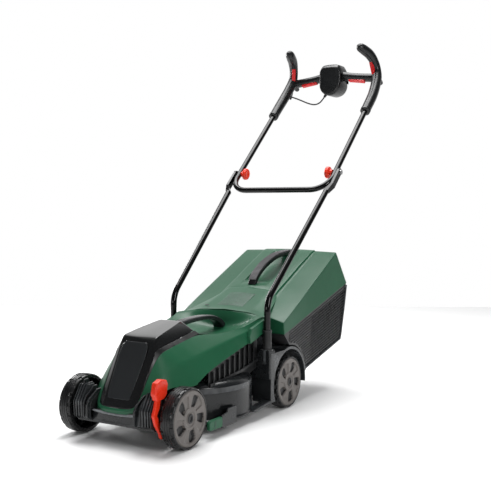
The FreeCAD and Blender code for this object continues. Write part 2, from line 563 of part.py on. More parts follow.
# grip bar halves, each with a trigger in its lower front face
DRUM_Z, DRUM_R = 1016.0, 40.0
for s, n in ((1, "left"), (-1, "right")):
    rot = Rotation(V(0, 1, 0), 8.2) if s > 0 else Rotation(V(0, 0, 1), 180).multiply(Rotation(V(0, 1, 0), 8.2))
    length = 112.5
    bar = Part.makeCylinder(13.2, length, V(0, 0, 0), V(1, 0, 0)).cut(Part.makeCylinder(8, length - 8, V(4, 0, 2.5), V(1, 0, 0)))
    ny = -0.45 if s > 0 else 0.45
    nrm = V(0, ny, -0.893).normalize()
    across = nrm.cross(V(1, 0, 0)).normalize()
    local = Rotation(V(1, 0, 0), across, nrm, "XYZ")
    well = Part.makeBox(64, 17.4, 22, V(-32, -8.7, 2.6))
    well.Placement = Placement(V(62, 0, 0), local)
    cup = well.copy()
    room = Part.makeBox(61, 14.4, 22, V(-30.5, -7.2, 4.1))
    room.Placement = Placement(V(62, 0, 0), local)
    bar = bar.fuse(cup.common(Part.makeCylinder(13.2, length, V(0, 0, 0), V(1, 0, 0)))).cut(room)
    y0 = 1168
    bar.Placement = Placement(V(s * 33.3, y0, 1045.5), rot)
    drum_room = Part.makeCylinder(DRUM_R + 0.3, 100, V(0, 1110, DRUM_Z), V(0, 1, 0))
    bar = bar.cut(drum_room).removeSplitter()
    bar = max(bar.Solids, key=lambda x: x.Volume)
    done(solid_feature("bar_%s_shape" % n, bar), "grip_bar_" + n)
    pad = Part.makeBox(60, 13.6, 9.4, V(-30, -6.8, 8.4))
    pad = pad.makeFillet(2.0, [e for e in pad.Edges if all(v.Point.z > 17 for v in e.Vertexes)])
    pad.Placement = Placement(V(s * 33.3, y0 - q("origin_shift"), 1045.5), rot).multiply(Placement(V(62, 0, 0), local))
    pad2 = solid_feature("bar_pad_%s_shape" % n, pad)
    pad2.Label = "bar_trigger_" + n
    finals.append(pad2)
    g = rot.multVec(nrm)
    print("bar trigger press axis", n, [round(-c, 4) for c in g])

drum = cut("drum_part", cyl("drum_body", DRUM_R, 78, (0, 1128, DRUM_Z), "Y"), [cyl("drum_hollow", 37, 72, (0, 1131, DRUM_Z), "Y")])
done(drum, "switch_drum")
hood = cut("hood_part", prism("hood_body", [(1136, 1034), (1139, 1052), (1152, 1086), (1192, 1087), (1206, 1066), (1206, 1040), (1200, 1034)], -33, 33),
           [cyl("hood_seat", DRUM_R + 0.2, 100, (0, 1110, DRUM_Z), "Y"), cyl("hood_bore", 8.3, 30, (0, 1186, 1067), "Y"), box("hood_hollow", -28, 28, 1148, 1184, 1030, 1078)])
done(hood, "switch_hood")
done(cyl("lock_body", 8, 16, (0, 1196, 1067), "Y"), "lock_button")

# cable from the switch housing to the right-hand tube, hanging free between them
CORD = [(-23.6, 1140, 973.2), (-35, 1141, 958.8), (-51, 1143, 949.8), (-70, 1145, 948.6), (-93, 1144, 955.5), (-119, 1140, 967.5), (-142, 1135, 977.0), (-158.6, 1131, 982.3)]
gland_dir = V(-0.62, 0.03, -0.785).normalize()
gland = Part.makeCone(6.2, 4.2, 19, V(*CORD[0]) - gland_dir * 19, gland_dir)
gland = gland.cut(Part.makeCylinder(DRUM_R, 100, V(0, 1110, DRUM_Z), V(0, 1, 0)))
done(solid_feature("gland_shape", gland), "cable_gland")
radii = []
for i in range(1, len(CORD) - 1):
    a, b, c = V(*CORD[i - 1]), V(*CORD[i]), V(*CORD[i + 1])
    turn = (b - a).getAngle(c - b)
    radii.append(0.45 * min((b - a).Length, (c - b).Length) / math.tan(turn / 2))
print("cable bend radii", [round(r, 1) for r in radii])
cpath = rounded_path(CORD, radii)
cable = pipe(cpath, q("cable_radius"))
print("cable length", round(cpath.Length, 1), "volume ratio", round(cable.Volume / (math.pi * q("cable_radius") ** 2 * cpath.Length), 4))
done(solid_feature("cable_shape", cable), "switch_cable")

# wing knobs on the inside of the handle joint
for s, n in ((1, "left"), (-1, "right")):
    turn = Rotation() if s > 0 else Rotation(V(0, 0, 1), 180)
    star = []
    for k in range(16):
        a = 2 * math.pi * k / 16
        r = 13.0 + 6.5 * abs(math.cos(a)) ** 1.5
        star.append((r * math.cos(a), r * math.sin(a)))
    knob = padded("knob_" + n, star, 13.0)
    sk = pd_sketch(knob, "knob_hub_" + n, "YZ_Plane", [(9 * math.cos(math.pi * k / 6), 9 * math.sin(math.pi * k / 6)) for k in range(12)])
    hub = knob.newObject("PartDesign::Pad", "knob_hub_pad_" + n)
    hub.Profile = sk
    hub.setExpression("Length", cell("knob_hub_length_" + n, 22.5))
    hole = knob.newObject("Sketcher::SketchObject", "knob_bore_" + n)
    hole.AttachmentSupport = [(plane_of(knob, "YZ_Plane"), "")]
    hole.MapMode = "FlatFace"
    hole.addGeometry(Part.Circle(V(0, 0, 0), V(0, 0, 1), 4.06), False)
    hole.addConstraint([Sketcher.Constraint("Coincident", 0, 3, -1, 1), Sketcher.Constraint("Radius", 0, 4.06)])
    hole.setExpression("Constraints[1]", cell("knob_bore_radius_" + n, 4.06))
    pk = knob.newObject("PartDesign::Pocket", "knob_bore_cut_" + n)
    pk.Profile = hole
    pk.Type = "ThroughAll"
    pk.Midplane = True
    done(knob, "knob_" + n, turn, (s * 145, PY, PZ))

# ---------------------------------------------------------------- rear flap and its pin
FY, FZ = 447.0, 262.0
done(cyl("flap_pin_body", 2.5, 272, (-136, FY, FZ), "X"), "flap_pin")


def flap_ring(y, lift):
    k = (y - 440) / 132.0
    xe, xm = 136 - 36 * k, 84 - 10 * k
    ze, zm, zc = 270 + 42 * k, 280 + 52 * k, 284 + 53 * k
    return [(xe, y, ze + lift), (xm, y, zm + lift), (0, y, zc + lift), (-xm, y, zm + lift), (-xe, y, ze + lift)]


def flap_section(y):
    top = flap_ring(y, 0)
    low = [(x, y, z - 3) for x, y, z in reversed(top)]
    return top + low


nose = [(137, 418, 268.4), (85, 418, 279), (0, 418, 283), (-85, 418, 279), (-137, 418, 268.4)]
nose = nose + [(x, y, z - 3) for x, y, z in reversed(nose)]
flap = loft([nose, flap_section(441.5), flap_section(500), flap_section(572)])
# the front edge ends on a circle about the pin, so that it clears the cover as it turns
ahead = Part.makeBox(300, 50, 120, V(-150, FY - 50, 220)).cut(Part.makeCylinder(28, 310, V(-155, FY, FZ), V(1, 0, 0)))
flap = flap.cut(ahead)
# rolled front edge around the pin
barrel = Part.makeCylinder(5.5, 180, V(-90, FY, FZ), V(1, 0, 0))
web = Part.makeBox(180, 6, 19, V(-90, FY - 3, FZ))
flap = flap.fuse([barrel, web]).cut(Part.makeCylinder(2.56, 300, V(-150, FY, FZ), V(1, 0, 0)))
done(solid_feature("flap_shape", flap.removeSplitter()), "rear_flap")

# ears under the cover that carry the flap pin
ears = []
for s, n in ((1, "left"), (-1, "right")):
    x0 = 92 if s > 0 else -98
    lug = prism("ear_" + n, [(436, 205.3), (436, 262), (441, 267), (452, 267), (453, 262), (453, 205.3)], x0, x0 + 6)
    ears.append(cut("ear_part_" + n, lug, [cyl("ear_hole_" + n, 2.5, 8, (x0 - 1, FY, FZ), "X")]))
done(group("ear_set", ears), "flap_brackets")

# ---------------------------------------------------------------- grass box
def quad(y0, z0, x0, y1, z1, x1):
    return [(-x0, y0, z0), (x0, y0, z0), (x1, y1, z1), (-x1, y1, z1)]


BH = q("box_half")
top_out = loft([quad(465, 217, BH, 890, 332, BH), quad(462, 251, BH, 839, 434, 166)])
top_in = loft([quad(468, 214.5, BH - 2.5, 887, 329, BH - 2.5), quad(465, 248, BH - 2.5, 837, 430.5, 163.5)])
ridge_out = loft([[(-92, 577, 305), (92, 577, 305), (92, 577, 319), (0, 577, 338), (-92, 577, 319)], [(-90, 838, 425), (90, 838, 425), (90, 838, 436), (0, 838, 440), (-90, 838, 436)]])
flap_room = loft([[(-142, 455, 268), (142, 455, 268), (142, 455, 320), (-142, 455, 320)], [(-142, 575, 304), (142, 575, 304), (142, 575, 360), (-142, 575, 360)]])
scoop = Part.makeBox(96, 188, 90, V(-48, 640, 333))
scoop.rotate(V(0, 640, 333), V(1, 0, 0), 23)
scoop_wall = Part.makeBox(102, 194, 90, V(-51, 637, 330))
scoop_wall.rotate(V(0, 640, 333), V(1, 0, 0), 23)
top_shell = top_out.fuse(ridge_out)
body_in = top_in.fuse(loft([[(-88, 580, 300), (88, 580, 300), (88, 580, 316), (0, 580, 334), (-88, 580, 316)], [(-87, 836, 420), (87, 836, 420), (87, 836, 433), (0, 836, 437), (-87, 836, 433)]])).cut(scoop_wall)
top_shell = top_shell.cut(body_in).cut(scoop).cut(flap_room)
front_gap = Part.makeBox(238, 103, 60, V(-119, 455, 190))
top_shell = top_shell.cut(front_gap)
top_shell = max(top_shell.Solids, key=lambda x: x.Volume)
done(solid_feature("box_top_shape", top_shell.removeSplitter()), "box_top")

low_out = loft([quad(600, 92, 172, 857, 152, 168), quad(465, 216.7, BH - 1, 889, 331.7, BH - 1)])
low_in = loft([quad(602, 95.5, 169, 854.5, 155.5, 165), quad(469, 218.0, BH - 3.5, 886.5, 333, BH - 3.5)])
for s in (1, -1):
    x0 = 116 if s > 0 else -186
    low_out = low_out.cut(Part.makeCylinder(107, 70, V(x0, WB, AH), V(1, 0, 0)))
    x0 = 113 if s > 0 else -186
    low_in = low_in.cut(Part.makeCylinder(109.8, 73, V(x0, WB, AH), V(1, 0, 0)))
low_out = low_out.cut(Part.makeBox(238, 148, 260, V(-119, 428, 20)))
low_in = low_in.cut(Part.makeBox(243.5, 150.6, 260, V(-121.75, 428, 20)))
mouth = Part.makeBox(190, 34, 96, V(-95, 560, 108))
low = low_out.cut(low_in).cut(mouth)
# windows that the slatted panels fill
side_window = Part.Face(Part.makePolygon([V(0, 640, 128), V(0, 845, 172), V(0, 872, 310), V(0, 640, 247), V(0, 640, 128)]))
for s in (1, -1):
    w = side_window.copy()
    w.translate(V(160 if s > 0 else -190, 0, 0))
    low = low.cut(w.extrude(V(30, 0, 0)))
low = max(low.Solids, key=lambda x: x.Volume)
done(solid_feature("box_lower_shape", low.removeSplitter()), "box_lower")

for s, n in ((1, "left"), (-1, "right")):
    f = Part.makePolygon([V(0, 640.4, 128.8), V(0, 844.6, 172.4), V(0, 871.4, 309.6), V(0, 640.4, 246.4), V(0, 640.4, 128.8)])
    sheet_face = Part.Face(f)
    slab = sheet_face.extrude(V(2.0, 0, 0))
    cuts = []
    for k in range(11):
        z = 134 + 15.0 * k
        strip = Part.makeBox(6, 214, 8.5, V(-2, 645, 0))
        strip.rotate(V(0, 645, 0), V(1, 0, 0), 12.0)
        strip.translate(V(0, 0, z))
        cuts.append(strip.common(Part.Face(Part.makePolygon([V(-2, 645, 134), V(-2, 840, 177), V(-2, 865, 303), V(-2, 645, 243), V(-2, 645, 134)])).extrude(V(6, 0, 0))))
    slab = slab.cut([c for c in cuts if c.Volume > 1])
    slab.rotate(V(0, 700, 130), V(0, 1, 0), 3.2)
    slab.translate(V(169.2, 0, 0))
    if s < 0:
        slab = slab.mirror(V(0, 0, 0), V(1, 0, 0))
    slab = max(slab.Solids, key=lambda x: x.Volume)
    done(solid_feature("slats_%s_shape" % n, slab), "box_slats_" + n)

ARCH = [(596, 356), (604, 372), (640, 398), (690, 420), (740, 431), (790, 434), (834, 437.5), (834, 428), (790, 421), (742, 417), (694, 406), (652, 386), (628, 364), (622, 350)]
GRIP = doc.addObject("PartDesign::Body", "box_handle_body")
sk = pd_sketch(GRIP, "box_handle_profile", "YZ_Plane", ARCH)
pad = GRIP.newObject("PartDesign::Pad", "box_handle_pad")
pad.Profile = sk
pad.setExpression("Length", cell("box_handle_thick", 32.0))
done(GRIP, "box_handle", None, (-16, 0, 0))

# ---------------------------------------------------------------- checks and export
doc.recompute()
bad = []
for o in doc.Objects:
    if any(s in ("Invalid", "Error") for s in o.State):
        bad.append("%s state %s" % (o.Name, o.State))
for o in finals:
    if o.Shape.isNull() or not o.Shape.isValid() or not o.Shape.Solids:
        bad.append("%s shape null=%s" % (o.Label, o.Shape.isNull()))
if bad:
    raise RuntimeError("; ".join(bad))
os.makedirs("parts", exist_ok=True)
lo, hi = [1e9] * 3, [-1e9] * 3
for o in finals:
    o.Shape.exportStep("parts/%s.step" % o.Label)
    b = o.Shape.BoundBox
    lo = [min(lo[0], b.XMin), min(lo[1], b.YMin), min(lo[2], b.ZMin)]
    hi = [max(hi[0], b.XMax), max(hi[1], b.YMax), max(hi[2], b.ZMax)]
print(len(finals), "parts; cells", row[0], "; box", [round(v, 2) for v in lo], [round(v, 2) for v in hi])
for o in finals:
    print("%-24s solids %d volume %.1f cm3" % (o.Label, len(o.Shape.Solids), o.Shape.Volume / 1000.0))
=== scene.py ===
import bpy
import bmesh
import math
from mathutils import Vector, Matrix, noise


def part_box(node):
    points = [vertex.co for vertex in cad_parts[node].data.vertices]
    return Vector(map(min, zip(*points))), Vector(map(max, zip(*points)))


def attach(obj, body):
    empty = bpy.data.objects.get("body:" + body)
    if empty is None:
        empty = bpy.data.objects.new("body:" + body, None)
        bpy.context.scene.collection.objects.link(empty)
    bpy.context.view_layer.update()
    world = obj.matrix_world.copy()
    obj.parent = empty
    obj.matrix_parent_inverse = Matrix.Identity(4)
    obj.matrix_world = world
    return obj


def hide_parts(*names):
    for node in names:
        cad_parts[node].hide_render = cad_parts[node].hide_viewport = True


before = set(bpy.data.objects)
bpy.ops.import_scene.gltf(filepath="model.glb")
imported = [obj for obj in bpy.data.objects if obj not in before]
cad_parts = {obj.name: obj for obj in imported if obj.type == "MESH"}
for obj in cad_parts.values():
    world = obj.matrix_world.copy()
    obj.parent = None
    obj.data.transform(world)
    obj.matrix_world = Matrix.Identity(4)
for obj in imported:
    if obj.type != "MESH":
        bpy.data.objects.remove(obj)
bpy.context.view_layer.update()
_lo, _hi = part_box("wheel_front_left")
AX = (_lo.y + _hi.y) / 2          # Y of the front axle in the row frame
AZ = (_lo.z + _hi.z) / 2
scene = bpy.context.scene


def P(x, y, z):
    """Millimetres measured from the ground under the front axle, to metres in the row frame."""
    return Vector((x / 1000.0, AX + y / 1000.0, z / 1000.0))


# ------------------------------------------------------------------ camera first
cam_data = bpy.data.cameras.new("camera")
cam = bpy.data.objects.new("camera", cam_data)
scene.collection.objects.link(cam)
scene.camera = cam
az, el, roll = math.radians(31.364), math.radians(2.897), math.radians(0.037)
back = Vector((math.sin(az) * math.cos(el), -math.cos(az) * math.cos(el), math.sin(el)))
right = Vector((math.cos(az), math.sin(az), 0))
up = back.cross(right)
rot = Matrix((right, up, back)).transposed().to_4x4()
cam.matrix_world = Matrix.Translation(P(1319.66, -1652.76, 583.08)) @ rot @ Matrix.Rotation(roll, 4, "Z")
cam_data.sensor_fit = "AUTO"
cam_data.sensor_width = 36
cam_data.lens = 61.26
cam_data.shift_x = 0.0130
cam_data.shift_y = -0.0027
cam_data.clip_start = 0.05
cam_data.clip_end = 60
cam_data.dof.use_dof = False

# ------------------------------------------------------------------ materials


def new_mat(name):
    m = bpy.data.materials.new(name)
    m.use_nodes = True
    nt = m.node_tree
    bsdf = nt.nodes.get("Principled BSDF")
    return m, nt, bsdf


def link(nt, a, b):
    nt.links.new(a, b)


def node(nt, kind, **kw):
    n = nt.nodes.new(kind)
    for k, v in kw.items():
        setattr(n, k, v)
    return n


def noise_tex(nt, coord, scale, detail=3.0, rough=0.55):
    n = node(nt, "ShaderNodeTexNoise")
    n.inputs["Scale"].default_value = scale
    n.inputs["Detail"].default_value = detail
    n.inputs["Roughness"].default_value = rough
    link(nt, coord, n.inputs["Vector"])
    return n


def map_range(nt, value, a, b, c, d):
    n = node(nt, "ShaderNodeMapRange")
    n.inputs["From Min"].default_value = a
    n.inputs["From Max"].default_value = b
    n.inputs["To Min"].default_value = c
    n.inputs["To Max"].default_value = d
    link(nt, value, n.inputs["Value"])
    return n.outputs["Result"]


def mix_rgb(nt, fac, c1, c2):
    n = node(nt, "ShaderNodeMixRGB")
    if isinstance(fac, float):
        n.inputs["Fac"].default_value = fac
    else:
        link(nt, fac, n.inputs["Fac"])
    for key, c in (("Color1", c1), ("Color2", c2)):
        if isinstance(c, tuple):
            n.inputs[key].default_value = (*c, 1)
        else:
            link(nt, c, n.inputs[key])
    return n.outputs["Color"]


def moulded(name, base, rough=0.38, grain=1500.0, bump=0.12, var=0.14, wear=0.35, wear_col=None, coat=0.0, metallic=0.0,
            spec=0.5, dust=0.10, rough_var=0.10, fine=0.00012, tint=5.0):
    """Moulded or painted surface: tint drift, grain bump, roughness drift, lighter worn edges and a little dust on top."""
    m, nt, bsdf = new_mat(name)
    tc = node(nt, "ShaderNodeTexCoord")
    co = tc.outputs["Object"]
    big = noise_tex(nt, co, tint, 1.5)
    mid = noise_tex(nt, co, 38.0, 1.2, 0.45)
    dark = tuple(c * (1 - var) for c in base)
    light = tuple(min(1, c * (1 + var) + 0.0006) for c in base)
    col = mix_rgb(nt, map_range(nt, big.outputs["Fac"], 0.25, 0.75, 0, 1), dark, light)
    geo = node(nt, "ShaderNodeNewGeometry")
    wc = wear_col or tuple(min(1, c * 1.9 + 0.03) for c in base)
    edge = map_range(nt, geo.outputs["Pointiness"], 0.53, 0.62, 0, wear)
    mul = node(nt, "ShaderNodeMath", operation="MULTIPLY")
    link(nt, edge, mul.inputs[0])
    link(nt, map_range(nt, mid.outputs["Fac"], 0.35, 0.7, 0.35, 1.0), mul.inputs[1])
    col = mix_rgb(nt, mul.outputs[0], col, wc)
    if dust:
        sep = node(nt, "ShaderNodeSeparateXYZ")
        link(nt, geo.outputs["Normal"], sep.inputs[0])
        topness = map_range(nt, sep.outputs["Z"], 0.35, 1.0, 0, dust)
        mul2 = node(nt, "ShaderNodeMath", operation="MULTIPLY")
        link(nt, topness, mul2.inputs[0])
        link(nt, map_range(nt, mid.outputs["Fac"], 0.3, 0.75, 0.2, 1.0), mul2.inputs[1])
        col = mix_rgb(nt, mul2.outputs[0], col, tuple(min(1, c * 1.4 + 0.006) for c in base))
    link(nt, col, bsdf.inputs["Base Color"])
    link(nt, map_range(nt, mid.outputs["Fac"], 0.3, 0.7, max(0.02, rough - rough_var), rough + rough_var), bsdf.inputs["Roughness"])
    gr = noise_tex(nt, co, min(grain, 300.0), 1.0, 0.4)
    bp = node(nt, "ShaderNodeBump")
    bp.inputs["Strength"].default_value = bump * 0.5
    bp.inputs["Distance"].default_value = fine
    link(nt, gr.outputs["Fac"], bp.inputs["Height"])
    link(nt, bp.outputs["Normal"], bsdf.inputs["Normal"])
    bsdf.inputs["Metallic"].default_value = metallic
    bsdf.inputs["Specular IOR Level"].default_value = spec * 0.8
    if coat:
        bsdf.inputs["Coat Weight"].default_value = coat
        bsdf.inputs["Coat Roughness"].default_value = 0.06
    return m


def steel_mat(name, base, rough=0.3):
    """Turned or rolled steel with fine brushed lines."""
    m, nt, bsdf = new_mat(name)
    tc = node(nt, "ShaderNodeTexCoord")
    mp = node(nt, "ShaderNodeMapping")
    mp.inputs["Scale"].default_value = (1, 40, 1)
    link(nt, tc.outputs["Object"], mp.inputs["Vector"])
    n1 = noise_tex(nt, mp.outputs["Vector"], 60.0, 5.0, 0.7)
    n2 = noise_tex(nt, tc.outputs["Object"], 25.0, 3.0)
    link(nt, mix_rgb(nt, n2.outputs["Fac"], tuple(c * 0.75 for c in base), base), bsdf.inputs["Base Color"])
    link(nt, map_range(nt, n1.outputs["Fac"], 0.3, 0.7, rough - 0.1, rough + 0.15), bsdf.inputs["Roughness"])
    bp = node(nt, "ShaderNodeBump")
    bp.inputs["Strength"].default_value = 0.15
    bp.inputs["Distance"].default_value = 0.0002
    link(nt, n1.outputs["Fac"], bp.inputs["Height"])
    link(nt, bp.outputs["Normal"], bsdf.inputs["Normal"])
    bsdf.inputs["Metallic"].default_value = 1.0
    return m


M = {}
M["green"] = moulded("green_abs", (0.0125, 0.088, 0.041), rough=0.34, grain=620, bump=0.03, var=0.07, wear=0.2, wear_col=(0.12, 0.30, 0.20), dust=0.05, rough_var=0.03, spec=0.36)
M["plate"] = moulded("plate_pebble", (0.0075, 0.058, 0.028), rough=0.40, grain=330, bump=1.4, var=0.55, wear=0.2, dust=0.1, fine=0.0008, tint=190.0)
# light grey for the bright line along the bumper's top lip: a painted highlight
M["rimgrey"] = moulded("bumper_highlight_grey", (0.20, 0.21, 0.22), rough=0.28, grain=260, bump=0.05, var=0.1, wear=0.5, dust=0.1)
# darker green for the comb notch: painted shade in the recess
M["green_dark"] = moulded("green_notch_shade_abs", (0.010, 0.052, 0.027), rough=0.42, grain=2200, var=0.12, wear=0.4)
M["deck"] = moulded("deck_charcoal", (0.0080, 0.0090, 0.0100), rough=0.24, grain=620, bump=0.10, var=0.14, wear=0.55, wear_col=(0.12, 0.128, 0.135), dust=0.05, rough_var=0.05)
M["fender"] = moulded("fender_grey", (0.019, 0.0215, 0.024), rough=0.33, grain=620, bump=0.2, var=0.14, wear=0.6, wear_col=(0.14, 0.15, 0.157), dust=0.08)
M["gloss"] = moulded("gloss_black", (0.0035, 0.0037, 0.004), rough=0.06, grain=500, bump=0.02, var=0.2, wear=0.25, wear_col=(0.10, 0.10, 0.10), coat=0.8, dust=0.03, rough_var=0.03)
# dark grey, lighter than the gloss black, standing in for the reflection on the lid face: painted reflection
M["lid_grey_painted_reflection"] = moulded("lid_face_painted_reflection_grey", (0.019, 0.0205, 0.022), rough=0.22, grain=700, bump=0.08, var=0.12, wear=0.2, dust=0.02, rough_var=0.05)
M["trim"] = moulded("black_trim", (0.0052, 0.0055, 0.006), rough=0.38, grain=620, bump=0.30, var=0.2, wear=0.5, wear_col=(0.10, 0.10, 0.105), dust=0.04, fine=0.0002)
M["slat"] = moulded("slat_black", (0.0048, 0.0052, 0.0056), rough=0.33, grain=620, bump=0.15, var=0.2, wear=0.45, wear_col=(0.10, 0.105, 0.11), dust=0.02)
M["tyre"] = moulded("tyre_black", (0.0045, 0.0047, 0.005), rough=0.30, grain=520, bump=0.4, var=0.25, wear=0.35, wear_col=(0.07, 0.072, 0.075), dust=0.02, fine=0.00025)
M["hub"] = moulded("hub_taupe", (0.118, 0.106, 0.098), rough=0.38, grain=620, bump=0.14, var=0.08, wear=0.35, wear_col=(0.30, 0.28, 0.26), dust=0.08)
# near-black for the hub's centre boss, also used as painted shade on the deep pocket floors
M["hub_dark_and_pocket_shade"] = moulded("hub_boss_dark_pocket_painted_shade", (0.006, 0.006, 0.0065), rough=0.35, grain=620, wear=0.4)
M["red"] = moulded("red_orange", (0.74, 0.030, 0.008), rough=0.30, grain=620, bump=0.05, var=0.06, wear=0.3, wear_col=(0.95, 0.16, 0.06), dust=0.05)
M["redpad"] = moulded("red_pad", (0.62, 0.006, 0.008), rough=0.38, grain=620, bump=0.03, var=0.08, wear=0.05, wear_col=(0.80, 0.08, 0.06), dust=0.04)
M["tube"] = moulded("tube_gloss_black", (0.0012, 0.0012, 0.0014), rough=0.10, grain=60, bump=0.0, var=0.25, wear=0.0, spec=0.42, coat=0.0, dust=0.0, rough_var=0.01)
M["grip"] = moulded("grip_satin_black", (0.0062, 0.0068, 0.0074), rough=0.30, grain=620, bump=0.06, var=0.18, wear=0.03, wear_col=(0.05, 0.052, 0.055), dust=0.03, rough_var=0.04, spec=0.5, fine=0.00018)
M["boxgrip"] = moulded("box_grip_grey", (0.085, 0.083, 0.088), rough=0.5, grain=1200, bump=0.3, var=0.12, wear=0.3, dust=0.1)
M["steel"] = steel_mat("plated_steel", (0.62, 0.62, 0.63), 0.28)
M["bladesteel"] = steel_mat("blade_steel", (0.32, 0.33, 0.34), 0.42)
M["motor"] = moulded("motor_can", (0.10, 0.10, 0.105), rough=0.4, grain=300, bump=0.1, metallic=0.7, wear=0.4, dust=0.05)
M["board"] = moulded("board_mask", (0.01, 0.09, 0.035), rough=0.35, grain=600, wear=0.2, dust=0.05)
M["cable"] = moulded("cable_sheath", (0.008, 0.008, 0.009), rough=0.5, grain=1400, bump=0.3, wear=0.3, dust=0.05)

# ------------------------------------------------------------------ mesh helpers


def add(name, verts, faces, mat, body, smooth=True, mats=None, face_mat=None, recalc=True):
    me = bpy.data.meshes.new(name)
    me.from_pydata([tuple(v) for v in verts], [], faces)
    me.validate()
    if recalc:
        bm = bmesh.new()
        bm.from_mesh(me)
        bmesh.ops.recalc_face_normals(bm, faces=bm.faces)
        bm.to_mesh(me)
        bm.free()
    for p in me.polygons:
        p.use_smooth = smooth
    o = bpy.data.objects.new(name, me)
    scene.collection.objects.link(o)
    for mm in (mats or [mat]):
        me.materials.append(M[mm])
    if face_mat:
        for i, k in face_mat.items():
            me.polygons[i].material_index = k
    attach(o, body)
    return o


def crease(o, pairs):
    me = o.data
    at = me.attributes.get("crease_edge") or me.attributes.new("crease_edge", "FLOAT", "EDGE")
    look = {}
    for e in me.edges:
        look[tuple(sorted(e.vertices))] = e.index
    for a, b, v in pairs:
        k = look.get((min(a, b), max(a, b)))
        if k is not None:
            at.data[k].value = max(at.data[k].value, v)


def subsurf(o, level=2):
    s = o.modifiers.new("subsurf", "SUBSURF")
    s.levels = level
    s.render_levels = level
    s.subdivision_type = "CATMULL_CLARK"
    return s


def mirror_x(o):
    s = o.modifiers.new("mirror", "MIRROR")
    s.use_axis = (True, False, False)
    s.use_clip = True
    s.merge_threshold = 0.0001
    return s


def solidify(o, t, offset=-1.0, crease_rim=0.6):
    s = o.modifiers.new("solidify", "SOLIDIFY")
    s.thickness = t / 1000.0
    s.offset = offset
    s.edge_crease_rim = crease_rim
    s.edge_crease_outer = 0.0
    s.use_even_offset = True
    return s


def bevel(o, w, seg=3, angle=30):
    s = o.modifiers.new("bevel", "BEVEL")
    s.width = w / 1000.0
    s.segments = seg
    s.limit_method = "ANGLE"
    s.angle_limit = math.radians(angle)
    s.harden_normals = False
    return s


def wn(o):
    s = o.modifiers.new("weighted", "WEIGHTED_NORMAL")
    s.keep_sharp = True
    return s


def grid(name, rows, mat, body, col_crease=(), row_crease=(), thick=None, mirrored=False, level=2, closed_cols=False, offset=-1.0, edge_crease=None):
    """A cage of quads from rows of points, all the same length."""
    n, k = len(rows), len(rows[0])
    verts = [p for r in rows for p in r]
    faces = []
    for i in range(n - 1):
        for j in range(k - 1 if not closed_cols else k):
            a, b = i * k + j, i * k + (j + 1) % k
            c, d = (i + 1) * k + (j + 1) % k, (i + 1) * k + j
            faces.append((a, b, c, d))
    o = add(name, verts, faces, mat, body)
    pairs = []
    for j, v in dict(col_crease).items():
        pairs += [(i * k + j, (i + 1) * k + j, v) for i in range(n - 1)]
    for i, v in dict(row_crease).items():
        pairs += [(i * k + j, i * k + (j + 1) % k, v) for j in range(k)]
    for (i0, j0), (i1, j1), v in (edge_crease or []):
        pairs.append((i0 * k + j0, i1 * k + j1, v))
    crease(o, pairs)
    if mirrored:
        mirror_x(o)
    if thick:
        solidify(o, thick, offset)
    if level:
        subsurf(o, level)
    return o


def prism(name, pts, x0, x1, mat, body, bw=1.0, seg=3, slot=None, smooth=True, axis="X", tilt=None):
    """A side outline, extruded across, with rounded edges."""
    n = len(pts)
    verts = []
    for x in (x0, x1):
        for a, b in pts:
            verts.append(P(x, a, b) if axis == "X" else (P(a, x, b) if axis == "Y" else P(a, b, x)))
    faces = [tuple(range(n)), tuple(range(2 * n - 1, n - 1, -1))]
    for i in range(n):
        faces.append((i, (i + 1) % n, n + (i + 1) % n, n + i))
    o = add(name, verts, faces, mat, body, smooth=smooth)
    if bw:
        bevel(o, bw, seg)
        wn(o)
    return o


def catmull(pts, per=8):
    out = []
    n = len(pts)
    for i in range(n - 1):
        p0, p1, p2, p3 = pts[max(0, i - 1)], pts[i], pts[i + 1], pts[min(n - 1, i + 2)]
        for s in range(per):
            t = s / per
            out.append(0.5 * ((2 * p1) + (p2 - p0) * t + (2 * p0 - 5 * p1 + 4 * p2 - p3) * t * t + (3 * p1 - p0 - 3 * p2 + p3) * t * t * t))
    out.append(pts[-1])
    return out


def sweep(name, pts, radii, mat, body, seg=28, per=8, shape=None, caps=True, up=Vector((1, 0, 0)), smooth_path=True):
    """A round or shaped section carried along a smooth path. radii are per control point; shape(angle, s) scales the radius."""
    ctrl = [P(*p) for p in pts]
    if smooth_path:
        line = catmull(ctrl, per)
        rad = [r.x for r in catmull([Vector((r, 0, 0)) for r in radii], per)]
    else:
        line, rad = ctrl, list(radii)
    n = len(line)
    rings = []
    prev = None
    for i, p in enumerate(line):
        t = (line[min(n - 1, i + 1)] - line[max(0, i - 1)]).normalized()
        if prev is None:
            u = (up - t * up.dot(t)).normalized()
        else:
            u = (prev - t * prev.dot(t)).normalized()
        prev = u
        v = t.cross(u)
        ring = []
        for k in range(seg):
            a = 2 * math.pi * k / seg
            f = shape(a, i / (n - 1)) if shape else 1.0
            sx, sy = f if isinstance(f, tuple) else (f, f)
            ring.append(p + (u * math.cos(a) * sx + v * math.sin(a) * sy) * rad[i] / 1000.0)
        rings.append(ring)
    verts = [p for r in rings for p in r]
    faces = []
    for i in range(n - 1):
        for k in range(seg):
            faces.append((i * seg + k, i * seg + (k + 1) % seg, (i + 1) * seg + (k + 1) % seg, (i + 1) * seg + k))
    if caps:
        faces.append(tuple(range(seg)))
        faces.append(tuple((n - 1) * seg + k for k in range(seg)))
    return add(name, verts, faces, mat, body)


def cad(node_name, mat, bw=None):
    """Keeps a CAD node and gives it a finish."""
    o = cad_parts[node_name]
    o.data.materials.clear()
    o.data.materials.append(M[mat])
    for p in o.data.polygons:
        p.material_index = 0
    if bw:
        w = o.modifiers.new("weld", "WELD")
        w.merge_threshold = 0.00001
        bevel(o, bw, 2, 40)
    return o


def sstep(a, b, x):
    t = max(0.0, min(1.0, (x - a) / (b - a)))
    return t * t * (3 - 2 * t)


# ------------------------------------------------------------------ wheels
W_IN, W_OUT = 139.5, 178.4


